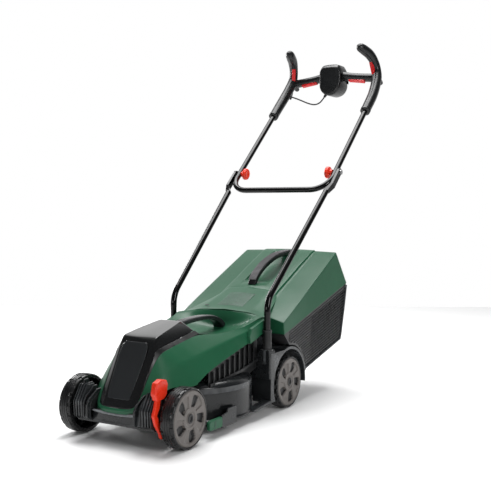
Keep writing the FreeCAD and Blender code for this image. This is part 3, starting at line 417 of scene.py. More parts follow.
def wheel_mesh(name, side, y, body):
    """Moulded wheel: grooved tread with edge notches, an open dish inside and a hub boss."""
    prof = [(-38.9, 64.5), (-38.9, 70.5), (-38.4, 72.2), (-37.0, 73.4), (-35.0, 74.2), (-33.2, 74.6), (-31.2, 74.8), (-30.8, 73.9), (-29.0, 73.9), (-28.6, 74.9), (-24.0, 75.0), (-23.7, 74.2), (-22.0, 74.2), (-21.7, 75.0), (-17.2, 75.0),
            (-16.9, 74.2), (-15.2, 74.2), (-14.9, 75.0), (-10.4, 74.9), (-10.0, 73.9), (-8.2, 73.9), (-7.8, 74.8), (-5.5, 74.6), (-3.6, 74.0), (-2.4, 73.0), (-1.6, 71.6), (-1.2, 70.2), (-1.3, 69.0), (-9.8, 68.9), (-10.0, 40.0), (-10.0, 13.0), (-13, 12.8),
            (-13.6, 14.0), (-14.0, 24.0), (-14.2, 50.0), (-14.6, 64.0), (-18, 65.4), (-30, 65.2)]
    # the hub boss on the inner side
    boss = [(-14.0, 14.0), (-36.5, 13.4), (-36.9, 12.6), (-36.9, 5.2), (-10.0, 5.2), (-10.0, 13.0)]
    n = 216
    verts, faces = [], []
    k = len(prof)
    notch_n = 18
    for i in range(n):
        a = 2 * math.pi * i / n
        ph = (i % (n // notch_n))
        for x, r in prof:
            rr = r
            if r > 72.5 and ((x > -9.9 and x < -1.5) or (x < -29.0)):
                shift = 0 if x > -20 else (n // notch_n) // 2
                q = (i + shift) % (n // notch_n)
                if q < 4:
                    rr = r - 2.6
            verts.append(P(side * (W_OUT + x), y + rr * math.cos(a), AZ * 1000 + rr * math.sin(a)))
    for i in range(n):
        j = (i + 1) % n
        for s in range(k):
            t = (s + 1) % k
            faces.append((i * k + s, i * k + t, j * k + t, j * k + s))
    o = add(name, verts, faces, "tyre", body)
    o.data.set_sharp_from_angle(angle=math.radians(38))
    vb, fb = [], []
    m2, kb = 64, len(boss)
    for i in range(m2):
        a = 2 * math.pi * i / m2
        for x, r in boss:
            vb.append(P(side * (W_OUT + x), y + r * math.cos(a), AZ * 1000 + r * math.sin(a)))
    for i in range(m2):
        j = (i + 1) % m2
        for s in range(kb):
            t = (s + 1) % kb
            fb.append((i * kb + s, i * kb + t, j * kb + t, j * kb + s))
    b = add(name + "_boss", vb, fb, "tyre", body)
    b.data.set_sharp_from_angle(angle=math.radians(38))
    # stiffening ribs in the open inner dish
    for q in range(10):
        a = 2 * math.pi * q / 10
        c, s_ = math.cos(a), math.sin(a)
        pts = []
        for r in (13.0, 65.0):
            for xx in (-35.0 if r < 20 else -24.0, -14.0):
                for w in (-1.1, 1.1):
                    pts.append(P(side * (W_OUT + xx), y + r * c - w * s_, AZ * 1000 + r * s_ + w * c))
        f = [(0, 1, 3, 2), (4, 6, 7, 5), (0, 4, 5, 1), (2, 3, 7, 6), (0, 2, 6, 4), (1, 5, 7, 3)]
        add("%s_rib_%d" % (name, q), pts, f, "tyre", body, smooth=False)
    return o


def cap_mesh(name, side, y, body):
    """Hub cap: raised rim, five curved pockets with ramped floors, a grooved centre and a small boss."""
    n, rs = 300, []
    r = 0.0
    radial = [0, 2.2, 4.4, 5.6, 6.4, 7.2, 8.2, 9.6, 11.2, 12.2, 12.9, 13.6, 14.6, 16.6, 18.4, 19.2, 20.0, 21.4, 23, 24.4, 25.4, 26.2, 27.0, 28, 30, 32, 34.5, 37, 39.5, 42, 44.5, 47, 49.5, 52, 54, 55.4, 56.4, 57.2, 58.0, 59, 60.5, 62, 63.4, 64.4, 65.2, 66.2, 67.2, 67.9, 68.4]
    verts, faces, fm = [], [], {}

    def height(rr, a):
        h = 0.0
        h -= 2.2 * sstep(66.0, 68.4, rr) ** 2
        h += 0.7 * sstep(62.6, 63.6, rr) * (1 - sstep(65.6, 66.6, rr))
        h -= 1.6 * (sstep(12.6, 13.6, rr) * (1 - sstep(18.6, 19.6, rr)))
        h += 0.9 * (1 - sstep(10.6, 12.4, rr)) - 2.4 * (1 - sstep(5.4, 6.8, rr))
        pitch = 2 * math.pi / 5
        # each pocket leans a little along the turn
        aa = (a + 0.0040 * (rr - 42) + math.pi / 2 + pitch / 2) % pitch - pitch / 2
        half = 0.445 - 0.0014 * (rr - 42)
        inner = 27.0 + 2.5 * math.cos(aa * 3.4)
        outer = 58.4 - 4.0 * (abs(aa) / 0.44) ** 4
        soft_a = 1.1 / max(rr, 10)
        m = sstep(-half - soft_a, -half + soft_a, aa) * (1 - sstep(half - soft_a, half + soft_a, aa))
        m *= sstep(inner - 0.8, inner + 0.8, rr) * (1 - sstep(outer - 0.8, outer + 0.8, rr))
        ramp = 0.40 + 0.60 * sstep(-0.05, 0.06, aa + 0.10 * math.sin((rr - 27) / 30 * math.pi) - 0.04)
        h -= 6.2 * m * ramp
        # a shallow step beside each pocket
        bb = (a + math.pi / 2 + 0.62) % pitch - pitch / 2
        s2 = sstep(-0.055, -0.045, bb) * (1 - sstep(0.045, 0.055, bb)) * sstep(48, 49, rr) * (1 - sstep(55, 56, rr))
        h -= 1.0 * s2
        return h
    for rr in radial[1:]:
        for i in range(n):
            a = 2 * math.pi * i / n
            verts.append(P(side * (W_OUT - 0.9 + height(rr, a)), y + rr * math.cos(a), AZ * 1000 + rr * math.sin(a)))
    k = len(radial) - 1
    c = len(verts)
    verts.append(P(side * (W_OUT - 0.9 + height(0, 0)), y, AZ * 1000))
    for i in range(n):
        j = (i + 1) % n
        faces.append((c, i, j))
    for s in range(k - 1):
        for i in range(n):
            j = (i + 1) % n
            faces.append((s * n + i, s * n + j, (s + 1) * n + j, (s + 1) * n + i))
    b0 = len(verts)
    for i in range(n):
        a = 2 * math.pi * i / n
        verts.append(P(side * (W_OUT - 9.4), y + 68.4 * math.cos(a), AZ * 1000 + 68.4 * math.sin(a)))
    for i in range(n):
        j = (i + 1) % n
        faces.append(((k - 1) * n + i, (k - 1) * n + j, b0 + j, b0 + i))
    faces.append(tuple(b0 + i for i in range(n)))
    o = add(name, verts, faces, "hub", body, mats=["hub", "hub_dark_and_pocket_shade"])
    # the centre and every pocket floor deeper than 4.2 mm go near-black: dark centre boss, and painted shade in the
    # pockets
    for p in o.data.polygons:
        cc = p.center
        d = math.hypot(cc.y - (AX + y / 1000), cc.z - AZ) * 1000
        depth = W_OUT - abs(cc.x) * 1000
        if d < 12.4 or (26 < d < 60 and depth > 4.2):
            p.material_index = 1
    o.data.set_sharp_from_angle(angle=math.radians(50))
    return o


for spot, side, y in (("front_left", 1, 0), ("front_right", -1, 0), ("rear_left", 1, None), ("rear_right", -1, None)):
    l2, h2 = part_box("wheel_" + spot)
    yy = ((l2.y + h2.y) / 2 - AX) * 1000
    o = wheel_mesh("tyre_" + spot, side, yy, "wheel_" + spot)
    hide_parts("wheel_" + spot)
    c = cap_mesh("cap_" + spot, side, yy, "wheel_" + spot)
    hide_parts("hub_cap_" + spot)
WB = yy

# ------------------------------------------------------------------ battery lid: front facet, cheeks and top
LID = [  # centre, ridge, edge
    ((0, -66, 93.5), (40, -64.5, 93.5), (57.5, -58, 94)),
    ((0, -61.5, 101.5), (41, -60, 101.5), (58.2, -53.5, 103)),
    ((0, -40, 139.5), (43, -38, 139.5), (58.8, -33, 136)),
    ((0, -5, 201), (47, -2, 201.5), (59.6, 0, 190)),
    ((0, 19.5, 244), (50, 25, 245), (60.2, 15, 219)),
    ((0, 26, 252.5), (51, 32, 253.2), (60.4, 23, 225.5)),
    ((0, 34, 256.5), (51, 39, 256.8), (60.8, 33, 229)),
    ((0, 90, 267.2), (46, 92, 266.8), (62.6, 95, 239)),
    ((0, 148, 278), (36.5, 149, 277.6), (63.8, 160, 252.5)),
    ((0, 164, 280.8), (32.5, 165, 280.4), (64, 177, 256.5)),
    ((0, 169, 279.4), (31.5, 170, 278.6), (63.5, 180.5, 254)),
]


def lerp(a, b, t):
    return tuple(a[i] + (b[i] - a[i]) * t for i in range(3))


rows = []
for c, r, e in LID:
    rows.append([P(*c), P(*lerp(c, r, 0.55)), P(*lerp(c, r, 0.90)), P(*r), P(*lerp(r, e, 0.15)), P(*lerp(r, e, 0.6)), P(*lerp(r, e, 0.93)), P(*e)])
lid = grid("lid_shell", rows, "gloss", "battery_lid", col_crease={3: 0.55, 2: 0.25}, row_crease={5: 0.35, 0: 1.0, 10: 1.0, 9: 0.4}, thick=2.4, mirrored=True, level=2)
lid.data.materials.append(M["lid_grey_painted_reflection"])
for p in lid.data.polygons:
    i = p.index // 7
    j = p.index % 7
    if i < 0 and j < 2:
        p.material_index = 1
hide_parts("battery_lid")
# raised insert on the front face with rounded upper corners; its lighter grey is painted reflection on the glossy lid
# face
ins = []
for i in range(15):
    t = i / 14.0
    half = 36.5 + 8.0 * t
    if i >= 11:
        half -= 12.0 * (1 - math.sqrt(max(0.0, 1 - ((i - 10) / 4.0) ** 2)))
    if i < 2:
        half -= 3.0 * (1 - i / 2.0) ** 2
    yc, zc = -55.6 + 74.3 * t, 112.3 + 130.5 * t
    row = []
    for j in range(9):
        u = -1 + 2 * j / 8.0
        row.append(P(half * u, yc - 0.9 + 1.6 * u * u, zc + 0.35))
    ins.append(row)
grid("lid_insert", ins, "lid_grey_painted_reflection", "battery_lid", level=1, thick=0.9, row_crease={0: 0.3, 14: 0.3})

# textured surround between the lid and the green cover
BAND_E = [(58.6, -57.5, 94), (59.2, -52.5, 104), (59.8, -32, 137), (60.6, 1, 191), (61.2, 16, 219.5), (61.6, 24, 226), (62, 34, 229.6), (63.6, 96, 239.5), (64.8, 161, 252), (65, 181, 256)]
BAND_B = [(59.8, -57, 96), (61, -51, 108), (62.0, -28, 142), (63.6, 4, 189), (66.4, 19, 208.5), (69, 32, 218), (71, 48, 223.6), (73, 106, 234), (75, 168, 244.4), (76, 187, 247.4)]
rows = []
for e, b in zip(BAND_E, BAND_B):
    rows.append([P(e[0] - 0.5, e[1], e[2] - 5), P(*e), P(*lerp(e, b, 0.12)), P(*lerp(e, b, 0.88)), P(*b), P(b[0] + 0.3, b[1], b[2] - 5)])
band = grid("surround_left", rows, "trim", "root", col_crease={1: 0.8, 4: 0.8}, row_crease={0: 1, 9: 1}, level=2, mirrored=True)
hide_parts("lid_surround")

# ------------------------------------------------------------------ green top cover
#      top/inner line          mid crease            lower edge
STRIP = [
    ((0, -69, 93), (0, -71, 88), (0, -70.6, 80.5)),
    ((30, -67.5, 93), (31, -69.5, 88), (31, -69.2, 80.5)),
    ((52, -62, 95), (56, -63, 89), (58, -61.5, 81)),
    ((60.5, -52, 109), (67, -52, 102), (73, -47, 85)),
    ((62.2, -29, 143), (76, -31, 126), (90, -30, 101)),
    ((64, 3, 189), (86, -2, 160), (104.5, 0, 138.5)),
    ((66.8, 18.5, 208.5), (92, 24, 176), (118, 34, 139)),
    ((69.4, 32, 218), (97, 44, 183), (123.5, 58, 135)),
    ((71.4, 48, 223.6), (101, 62, 188), (127, 80, 131.5)),
    ((73.4, 106, 234), (109, 112, 197), (131, 100, 135)),
    ((74.4, 140, 239.6), (114, 146, 205), (132.5, 128, 152)),
    ((76.4, 187, 247), (120, 196, 214), (134.5, 178, 168.5)),
]
REAR = [
    ((98, 226, 241.5), (127, 246, 224), (137.5, 246, 186.5)),
    ((113, 285, 244.0), (133.5, 304, 234), (140.5, 312, 203.5)),
    ((127, 342, 251.0), (139, 356, 243), (143.5, 362, 216.5)),
    ((139.5, 386, 269.5), (145, 394, 256), (146, 404, 227.5)),
    ((139, 438, 270), (147, 438, 257), (148.5, 438, 236.5)),
]
rows = []
for t, m, l in STRIP + REAR:
    ins = lerp(t, m, 0.07)
    low = lerp(l, m, 0.10)
    rows.append([P(t[0] - (0.8 if t[0] else 0), t[1] + (0.8 if t[0] < 40 else 0), t[2] - 4.0), P(*t), P(*ins), P(*lerp(t, m, 0.62)), P(*m), P(*lerp(m, l, 0.35)), P(*low), P(*l), P(max(0, l[0] - 2.5), l[1] + (2.0 if l[0] < 40 else 0), l[2] + 0.3)])
side = grid("cover_side", rows, "green", "root", col_crease={1: 0.75, 4: 0.35, 7: 0.8, 6: 0.2}, row_crease={16: 1.0}, level=3, mirrored=True)
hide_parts("top_cover")
# bowl around the carry handle, up to the flap hinge
BOWL = [
    # rim, shoulder, floor edge, centre
    ((76.4, 184, 247), (66, 184, 249), (50, 184, 250), (0, 184, 250)),
    ((78, 190, 247.2), (66, 191, 246), (52, 192, 240), (0, 192, 238)),
    ((86, 206, 245.2), (72, 208, 238), (56, 210, 229), (0, 210, 226)),
    ((98, 226, 241.6), (82, 230, 233), (60, 232, 226.6), (0, 232, 225)),
    ((113, 285, 244.1), (94, 288, 233), (66, 290, 226.6), (0, 290, 225)),
    ((127, 342, 251.1), (106, 344, 240), (70, 346, 228.5), (0, 346, 225)),
    ((139.5, 386, 269.6), (118, 388, 259), (78, 390, 240), (0, 392, 225.5)),
    ((139.6, 402, 270.0), (120, 403, 268), (84, 404, 258), (0, 407, 234)),
    ((139.4, 412, 270.1), (120, 413, 271.6), (86, 414, 272.4), (0, 409.5, 256)),
    ((139.2, 417.2, 270.0), (120, 418.6, 272.8), (84, 420.6, 277.8), (0, 419.4, 280.6)),
    ((139.0, 417.0, 266.0), (120, 418.2, 269.2), (84, 419.6, 274.6), (0, 418.6, 277.8)),
]
rows = []
for a, b, c, d in BOWL:
    rows.append([P(*a), P(*lerp(a, b, 0.12)), P(*b), P(*c), P(*lerp(c, d, 0.5)), P(*d)])
bowl = grid("cover_bowl", rows, "green", "root", col_crease={0: 1.0, 1: 0.3}, row_crease={0: 1.0, 9: 0.9, 10: 1.0}, level=3, mirrored=True)
# rear lip that closes the cover under the flap
prism("cover_rear_lip", [(434.5, 226), (434.5, 232.4), (437, 232.4), (437, 226)], -144, 144, "green", "root", 0.6, slot="green_abs")
for s in (1, -1):
    a, b = (118, 149) if s > 0 else (-149, -118)
    # stepped latch block behind the louvres
    prism("cover_latch_%s" % ("l" if s > 0 else "r"), [(330, 206), (326, 226), (338, 247), (392, 262), (420, 266), (424, 236), (390, 224)], *((138, 149.2) if s > 0 else (-149.2, -138)), "green", "root", 2.2, slot="green_abs")

# ------------------------------------------------------------------ louvres
for s, n in ((1, "left"), (-1, "right")):
    a, b = (134.2, 136.0) if s > 0 else (-136.0, -134.2)
    back_panel = prism("louvre_back_" + n, [(147, 112), (147, 160), (150, 162), (372, 214), (392, 220), (392, 132), (340, 116), (300, 112)], *((130.0, 132.2) if s > 0 else (-132.2, -130.0)), "trim", "root", 0.3, slot="black_trim")
    frame_pts = [(146, 124), (146, 153), (150, 156), (392, 219), (396, 214), (396, 158), (390, 152)]
    for q in range(9):
        y0 = 164 + 25.0 * q
        zt_ = 151.5 + (y0 - 147) * 0.2628
        zb = 128 + max(0, y0 - 200) * 0.135
        blade = [P(s * 138.4, y0, zb), P(s * 138.4, y0, zt_), P(s * 133.2, y0 + 4.0, zt_ + 1), P(s * 133.2, y0 + 4.0, zb),
                 P(s * 138.4, y0 - 3.4, zb), P(s * 138.4, y0 - 3.4, zt_), P(s * 133.2, y0 + 0.6, zt_ + 1), P(s * 133.2, y0 + 0.6, zb)]
        f = [(0, 1, 2, 3), (4, 7, 6, 5), (0, 4, 5, 1), (1, 5, 6, 2), (2, 6, 7, 3), (3, 7, 4, 0)]
        lo_ = add("louvre_%s_%d" % (n, q), blade, f, "slat", "root", smooth=True)
        bevel(lo_, 0.8, 3)
        wn(lo_)
    rim = prism("louvre_rim_" + n, [(146, 119), (146, 127), (200, 131), (300, 142), (392, 158), (392, 151), (300, 133), (200, 123)], *((134, 139.0) if s > 0 else (-139.0, -134)), "trim", "root", 1.2, slot="black_trim")
    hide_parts("side_louvre_" + n)

# ------------------------------------------------------------------ deck skins
prof = [(173.8, 27.6), (174.6, 28.4), (174.6, 32.0), (173.4, 33.4), (172.5, 36), (172.5, 60), (172.5, 90), (172.2, 100), (171.2, 108), (169.2, 115), (166, 120.6), (161.5, 125.0), (156, 127.6), (150, 128.8), (143, 129.0), (130, 128.2), (112, 126), (96, 125)]
n = 192
verts, faces = [], []
k = len(prof)
for i in range(n):
    a = 2 * math.pi * i / n
    ca, sa = math.cos(a), math.sin(a)
    for r, z in prof:
        x, y = r * ca, 250 + r * sa
        verts.append(P(x, y, z))
for i in range(n):
    j = (i + 1) % n
    for s in range(k - 1):
        faces.append((i * k + s, i * k + s + 1, j * k + s + 1, j * k + s))
ring = add("deck_bulge", verts, faces, "deck", "root")
cadnode = cad("deck_housing", "deck")
for s, nn in ((1, "left"), (-1, "right")):
    # points for a straight skirt between the bulge and the rear wheel arch, with a raised lower lip; these rows are not
    # built into a mesh
    def sx(x):
        return s * x
    rows = []
    for x, y, z0, z1 in ((168, 300, 30, 118), (170.5, 330, 30, 121), (173, 362, 31, 130), (175.5, 388, 33, 150)):
        rows.append([P(sx(x - 16), y, z1 + 6), P(sx(x - 5), y, z1), P(sx(x - 1.5), y, z1 - 10), P(sx(x - 1.0), y, z0 + 10), P(sx(x + 1.4), y, z0 + 7), P(sx(x + 1.4), y, z0), P(sx(x - 3), y, z0)])
    # wheel arch: a thick grey shell with a bright rolled rim around the rear wheel
    arc = []
    for i in range(41):
        t = i / 40.0
        ang = math.radians(204 - t * 212)
        arc.append(ang)
    rows = []
    for ang in arc:
        c_, s_ = math.cos(ang), math.sin(ang)
        row = []
        for rr, x in ((101.5, 119), (101.8, 150), (101.8, 168), (101.2, 174.5), (99.0, 177.6), (96.6, 178.2), (95.2, 177.4), (94.4, 174.0), (94.2, 160), (94.2, 121)):
            row.append(P(sx(x), WB + rr * c_, max(33, AZ * 1000 + rr * s_)))
        rows.append(row)
    o = grid("fender_arch_" + nn, rows, "fender", "root", row_crease={0: 1, 40: 1}, level=1)
    # front web of the fender, down to the skirt
    web = prism("fender_web_" + nn, [(391.5, 34), (391.5, 128), (398, 148), (410, 160), (424, 166), (440, 168), (440, 140), (418, 118), (409, 96), (406, 75), (409, 50), (416, 34)], *((117, 177.8) if s > 0 else (-177.8, -117)), "deck", "root", 2.4, 4, slot="dark_deck")
    # shoulder of the fender that takes the handle tube
    sh = [(117, 100), (117, 148), (127, 160), (141, 180), (145, 183.6), (173, 183.6), (176.8, 177), (177.6, 160), (177.6, 100)]
    prism("fender_shoulder_" + nn, [(s * a, b) for a, b in sh], 385.5, 418, "deck", "root", 4.0, 4, axis="Y", slot="dark_deck")
    # flange running forward along the bottom edge
    prism("skirt_flange_" + nn, [(300, 28), (300, 33), (392, 42), (396, 38), (396, 33)], *((150, 177.4) if s > 0 else (-177.4, -150)), "fender", "root", 1.2, slot="dark_deck")

# front bumper bar and corner ribs
bar = []
rows = []
for i in range(25):
    t = -1 + 2 * i / 24.0
    x = 92 * t
    yb = -69.5 + 8.0 * (abs(t) ** 3)
    z1 = 78.5 + 5 * abs(t) ** 2
    rows.append([P(x, yb + 9, z1 + 2), P(x, yb + 3, z1 + 2.2), P(x, yb - 1.5, z1), P(x, yb - 2, z1 - 3), P(x, yb + 0.5, z1 - 6), P(x, yb + 1.5, 58), P(x, yb + 4, 52.5), P(x, yb + 12, 51)])
bumper = grid("bumper_bar", rows, "deck", "root", col_crease={1: 0.3, 3: 0.4}, level=1, thick=3, offset=-1)
# the top-lip faces of the bumper take the light grey as a painted highlight line
bumper.data.materials.append(M["rimgrey"])
for pp in bumper.data.polygons:
    if pp.index % 7 in (1, 2):
        pp.material_index = 1
for s, nn in ((1, "left"), (-1, "right")):
    for q in range(4):
        x = 70.5 + q * 14.2
        d = q * 4.0
        outline = [(-60 + d * 0.2, 52), (-82 + d * 1.1, 60), (-86 + d * 1.1, 66), (-86 + d * 1.2, 96 + d * 0.9), (-78 + d, 108 + d * 1.1), (-46 + d * 0.3, 128 + d * 1.6), (-30, 128 + d * 1.6), (-30, 52)]
        prism("corner_rib_%s_%d" % (nn, q), outline, *((x, x + 5.2) if s > 0 else (-x - 5.2, -x)), "deck", "root", 1.3, 3, slot="dark_deck")
    prism("corner_fill_" + nn, [(-58, 52), (-74, 62), (-75, 94), (-66, 106), (-40, 122), (-24, 122), (-24, 52)], *((70, 118) if s > 0 else (-118, -70)), "trim", "root", 1.5, slot="dark_deck")

# ------------------------------------------------------------------ carry handle
CH = [(0, 168, 262), (0, 190, 266), (0, 215, 268.0), (0, 250, 270.5), (0, 290, 271.5), (0, 330, 270.0), (0, 362, 265), (0, 388, 254), (0, 404, 240), (0, 412, 226)]


def strap(a, s):
    c, d = abs(math.cos(a)), abs(math.sin(a))
    k = (c ** 4 + d ** 4) ** -0.25
    return (1.32 * k, 0.62 * k)


ch = sweep("carry_handle_arch", CH, [12, 12, 11.6, 11.2, 11, 11, 11.2, 12.6, 14, 15], "trim", "root", seg=40, per=8, shape=strap)
# the handle takes the same glossy dark grey, whose lighter tone is painted reflection
ch.data.materials[0] = M["lid_grey_painted_reflection"]
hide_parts("carry_handle")

# ------------------------------------------------------------------ rear flap
FLAP = [  # edge, shoulder, centre
    ((136.6, 421.0, 268.2), (85, 425.8, 278.6), (0, 430.4, 283.0)),
    ((136.4, 425, 268.8), (85, 429, 279.2), (0, 433.5, 283.6)),
    ((136.2, 441, 270.2), (85, 442, 280.6), (0, 444, 285.0)),
    ((127.5, 475, 280.4), (82.4, 475, 293.0), (0, 475, 297.6)),
    ((118, 510, 291.6), (79.6, 510, 306.2), (0, 510, 311.4)),
    ((108, 545, 302.8), (76.8, 545, 319.4), (0, 545, 325.4)),
    ((101.5, 567, 309.8), (75, 567, 328.4), (0, 567, 334.6)),
    ((100.2, 571.5, 311.2), (74.4, 571.5, 329.6), (0, 571.5, 335.8)),
]
rows = []
for e, m, c in FLAP:
    rows.append([P(e[0], e[1], e[2] - 2.0), P(*e), P(*lerp(e, m, 0.06)), P(*lerp(e, m, 0.55)), P(*m), P(*lerp(m, c, 0.35)), P(*lerp(m, c, 0.75)), P(*c)])
flap = grid("flap_panel", rows, "green", "rear_flap", col_crease={1: 0.6, 2: 0.3, 4: 0.35}, row_crease={0: 1, 7: 1, 1: 0.2, 6: 0.4}, thick=2.4, mirrored=True, level=2)
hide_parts("rear_flap")


def flap_z(x, y):
    k = (y - 440) / 132.0
    zm, zc = 280 + 52 * k, 284 + 53 * k
    return zm + (zc - zm) * (1 - abs(x) / (84 - 10 * k))


# raised rectangular plate with a fine pebbled face, its rim and small slots
pl = []
for i in range(9):
    y = 458 + i * 9.8
    row = []
    for j in range(9):
        x = -44 + j * 11.0
        row.append(P(x, y, flap_z(x, y) + (1.0 if 0 < i < 8 and 0 < j < 8 else 0.0)))
    pl.append(row)
grid("flap_plate", pl, "plate", "rear_flap", level=2, thick=0.8)
# the small slots are black blocks on the face: painted shade in the openings
for i, (x0, y0, w, d) in enumerate(((-66, 446, 9, 4), (-78, 458, 12, 5), (-62, 432, 7, 4), (-84, 438, 6, 4), (60, 436, 10, 3.4), (104, 446, 5, 4))):
    z0 = (flap_z(x0, y0) if abs(x0) < 84 else 277 - (abs(x0) - 84) * 0.19 + (y0 - 440) * 0.33)
    vs = [P(x0 + a * w / 2, y0 + b * d / 2, z0 + b * d * 0.17 + c) for a in (-1, 1) for b in (-1, 1) for c in (-0.6, 0.75)]
    so = add("flap_slot_shade_%d" % i, vs, [(0, 1, 3, 2), (4, 6, 7, 5), (0, 4, 5, 1), (2, 3, 7, 6), (0, 2, 6, 4), (1, 5, 7, 3)], "trim", "rear_flap")
    bevel(so, 0.4, 2)
sweep("flap_barrel", [(-89.5, 447, 262), (-60, 447, 262), (-20, 447, 262), (20, 447, 262), (60, 447, 262), (89.5, 447, 262)], [5.4] * 6, "green", "rear_flap", seg=24, per=2, up=Vector((0, 0, 1)))
prism("flap_web", [(444.6, 262), (444.6, 280), (449.4, 280), (449.4, 262)], -88, 88, "green", "rear_flap", 0.6, slot="green_abs")

# ------------------------------------------------------------------ grass box top
BOXT = [  # y, edge, step low, step high, centre
    (461, (178.5, 250), (140, 262), (96, 268), (94, 270), (0, 276)),
    (470, (180, 255), (140, 266), (96, 272), (94, 274), (0, 280)),
    (560, (177.5, 299.5), (134, 305), (96, 309), (94, 311), (0, 321)),
    (574, (177, 306), (133, 311.5), (94, 316), (91.5, 321.5), (0, 337.5)),
    (640, (174.4, 338.5), (130, 343.5), (93, 346), (91, 352), (0, 364)),
    (740, (170.4, 386.5), (128, 391), (92, 394), (90.2, 400), (0, 408)),
    (826, (166.6, 427.6), (126, 431), (91.6, 433), (90, 437.4), (0, 440.5)),
    (838, (166, 432.6), (126, 434.6), (91.5, 435.5), (90, 438.2), (0, 440.2)),
]
def mixrow(a, b, t):
    return (a[0] + (b[0] - a[0]) * t,) + tuple(lerp((p[0], p[1], 0), (q[0], q[1], 0), t)[:2] for p, q in zip(a[1:], b[1:]))


dense = []
for i in range(len(BOXT) - 1):
    steps = {3: 2, 4: 3, 5: 3}.get(i, 1)
    for q in range(steps):
        dense.append(mixrow(BOXT[i], BOXT[i + 1], q / steps))
dense.append(BOXT[-1])
rows = []
for y, e, m, l, h, c in dense:
    t = (y - 461) / 377.0
    wide = (180.0, 465 + 424 * t, 217.5 + 114 * t)
    dip = 30.0 * sstep(612, 668, y) * (1 - sstep(775, 822, y))
    rows.append([P(wide[0] - 2, wide[1], wide[2] - 0.5), P(wide[0], wide[1], wide[2]), P(wide[0] - 0.4, wide[1], wide[2] + 3), P(e[0] + (wide[0] - e[0]) * 0.08, y + (wide[1] - y) * 0.06, e[1] - (e[1] - wide[2]) * 0.06), P(e[0], y, e[1]), P(e[0] - 2.5, y, e[1] + 0.6), P(m[0], y, m[1]), P(l[0], y, l[1]), P(h[0], y, h[1]),
                 P(h[0] * 0.94, y, h[1] + (c[1] - h[1]) * 0.2), P(52, y, h[1] + (c[1] - h[1]) * 0.60), P(47, y, h[1] + (c[1] - h[1]) * 0.64), P(42, y, h[1] + (c[1] - h[1]) * 0.7 - dip * 0.75), P(26, y, h[1] + (c[1] - h[1]) * 0.88 - dip), P(0, y, c[1] - dip)])
boxtop = grid("box_top_shell", rows, "green", "grass_box", col_crease={1: 0.6, 2: 0.3, 4: 0.6, 7: 0.7, 8: 0.8, 11: 0.4}, row_crease={0: 1, len(rows) - 1: 0.8}, thick=2.4, mirrored=True, level=2)
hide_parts("box_top")
# rear face of the green half
rows = []
for f in (0, 0.06, 0.5, 0.94, 1):
    row = []
    for xt, zt_, xb in ((0, 440.2, 0), (24, 439.9, 30), (50, 439.2, 62), (84.6, 438.6, 96), (90, 438.2, 103), (91.5, 435.5, 105), (126, 434.6, 138), (163.5, 433.2, 176), (166, 432.6, 180)):
        row.append(P(xt + (xb - xt) * f, 838 + 51 * f + (1.0 if 0 < f < 1 else 0), zt_ + (331.5 - zt_) * f))
    rows.append(row)
boxrear = grid("box_top_rear", rows, "green", "grass_box", col_crease={4: 0.5, 5: 0.5, 8: 1}, row_crease={0: 0.9, 4: 0.9}, mirrored=True, level=2, thick=2.2)
# front return edge of the box top
rows = []
for f in (0, 0.1, 0.9, 1):
    row = []
    for xt, zt_, xb in ((96, 268.2, 119), (140, 262, 150), (174, 251.6, 176), (178.5, 250, 180)):
        row.append(P(xt + (xb - xt) * f, 461 + 4 * f, zt_ + (217.5 - zt_) * f))
    rows.append(row)
grid("box_top_front", rows, "green", "grass_box", row_crease={0: 0.8, 3: 0.8}, mirrored=True, level=1, thick=2.2)

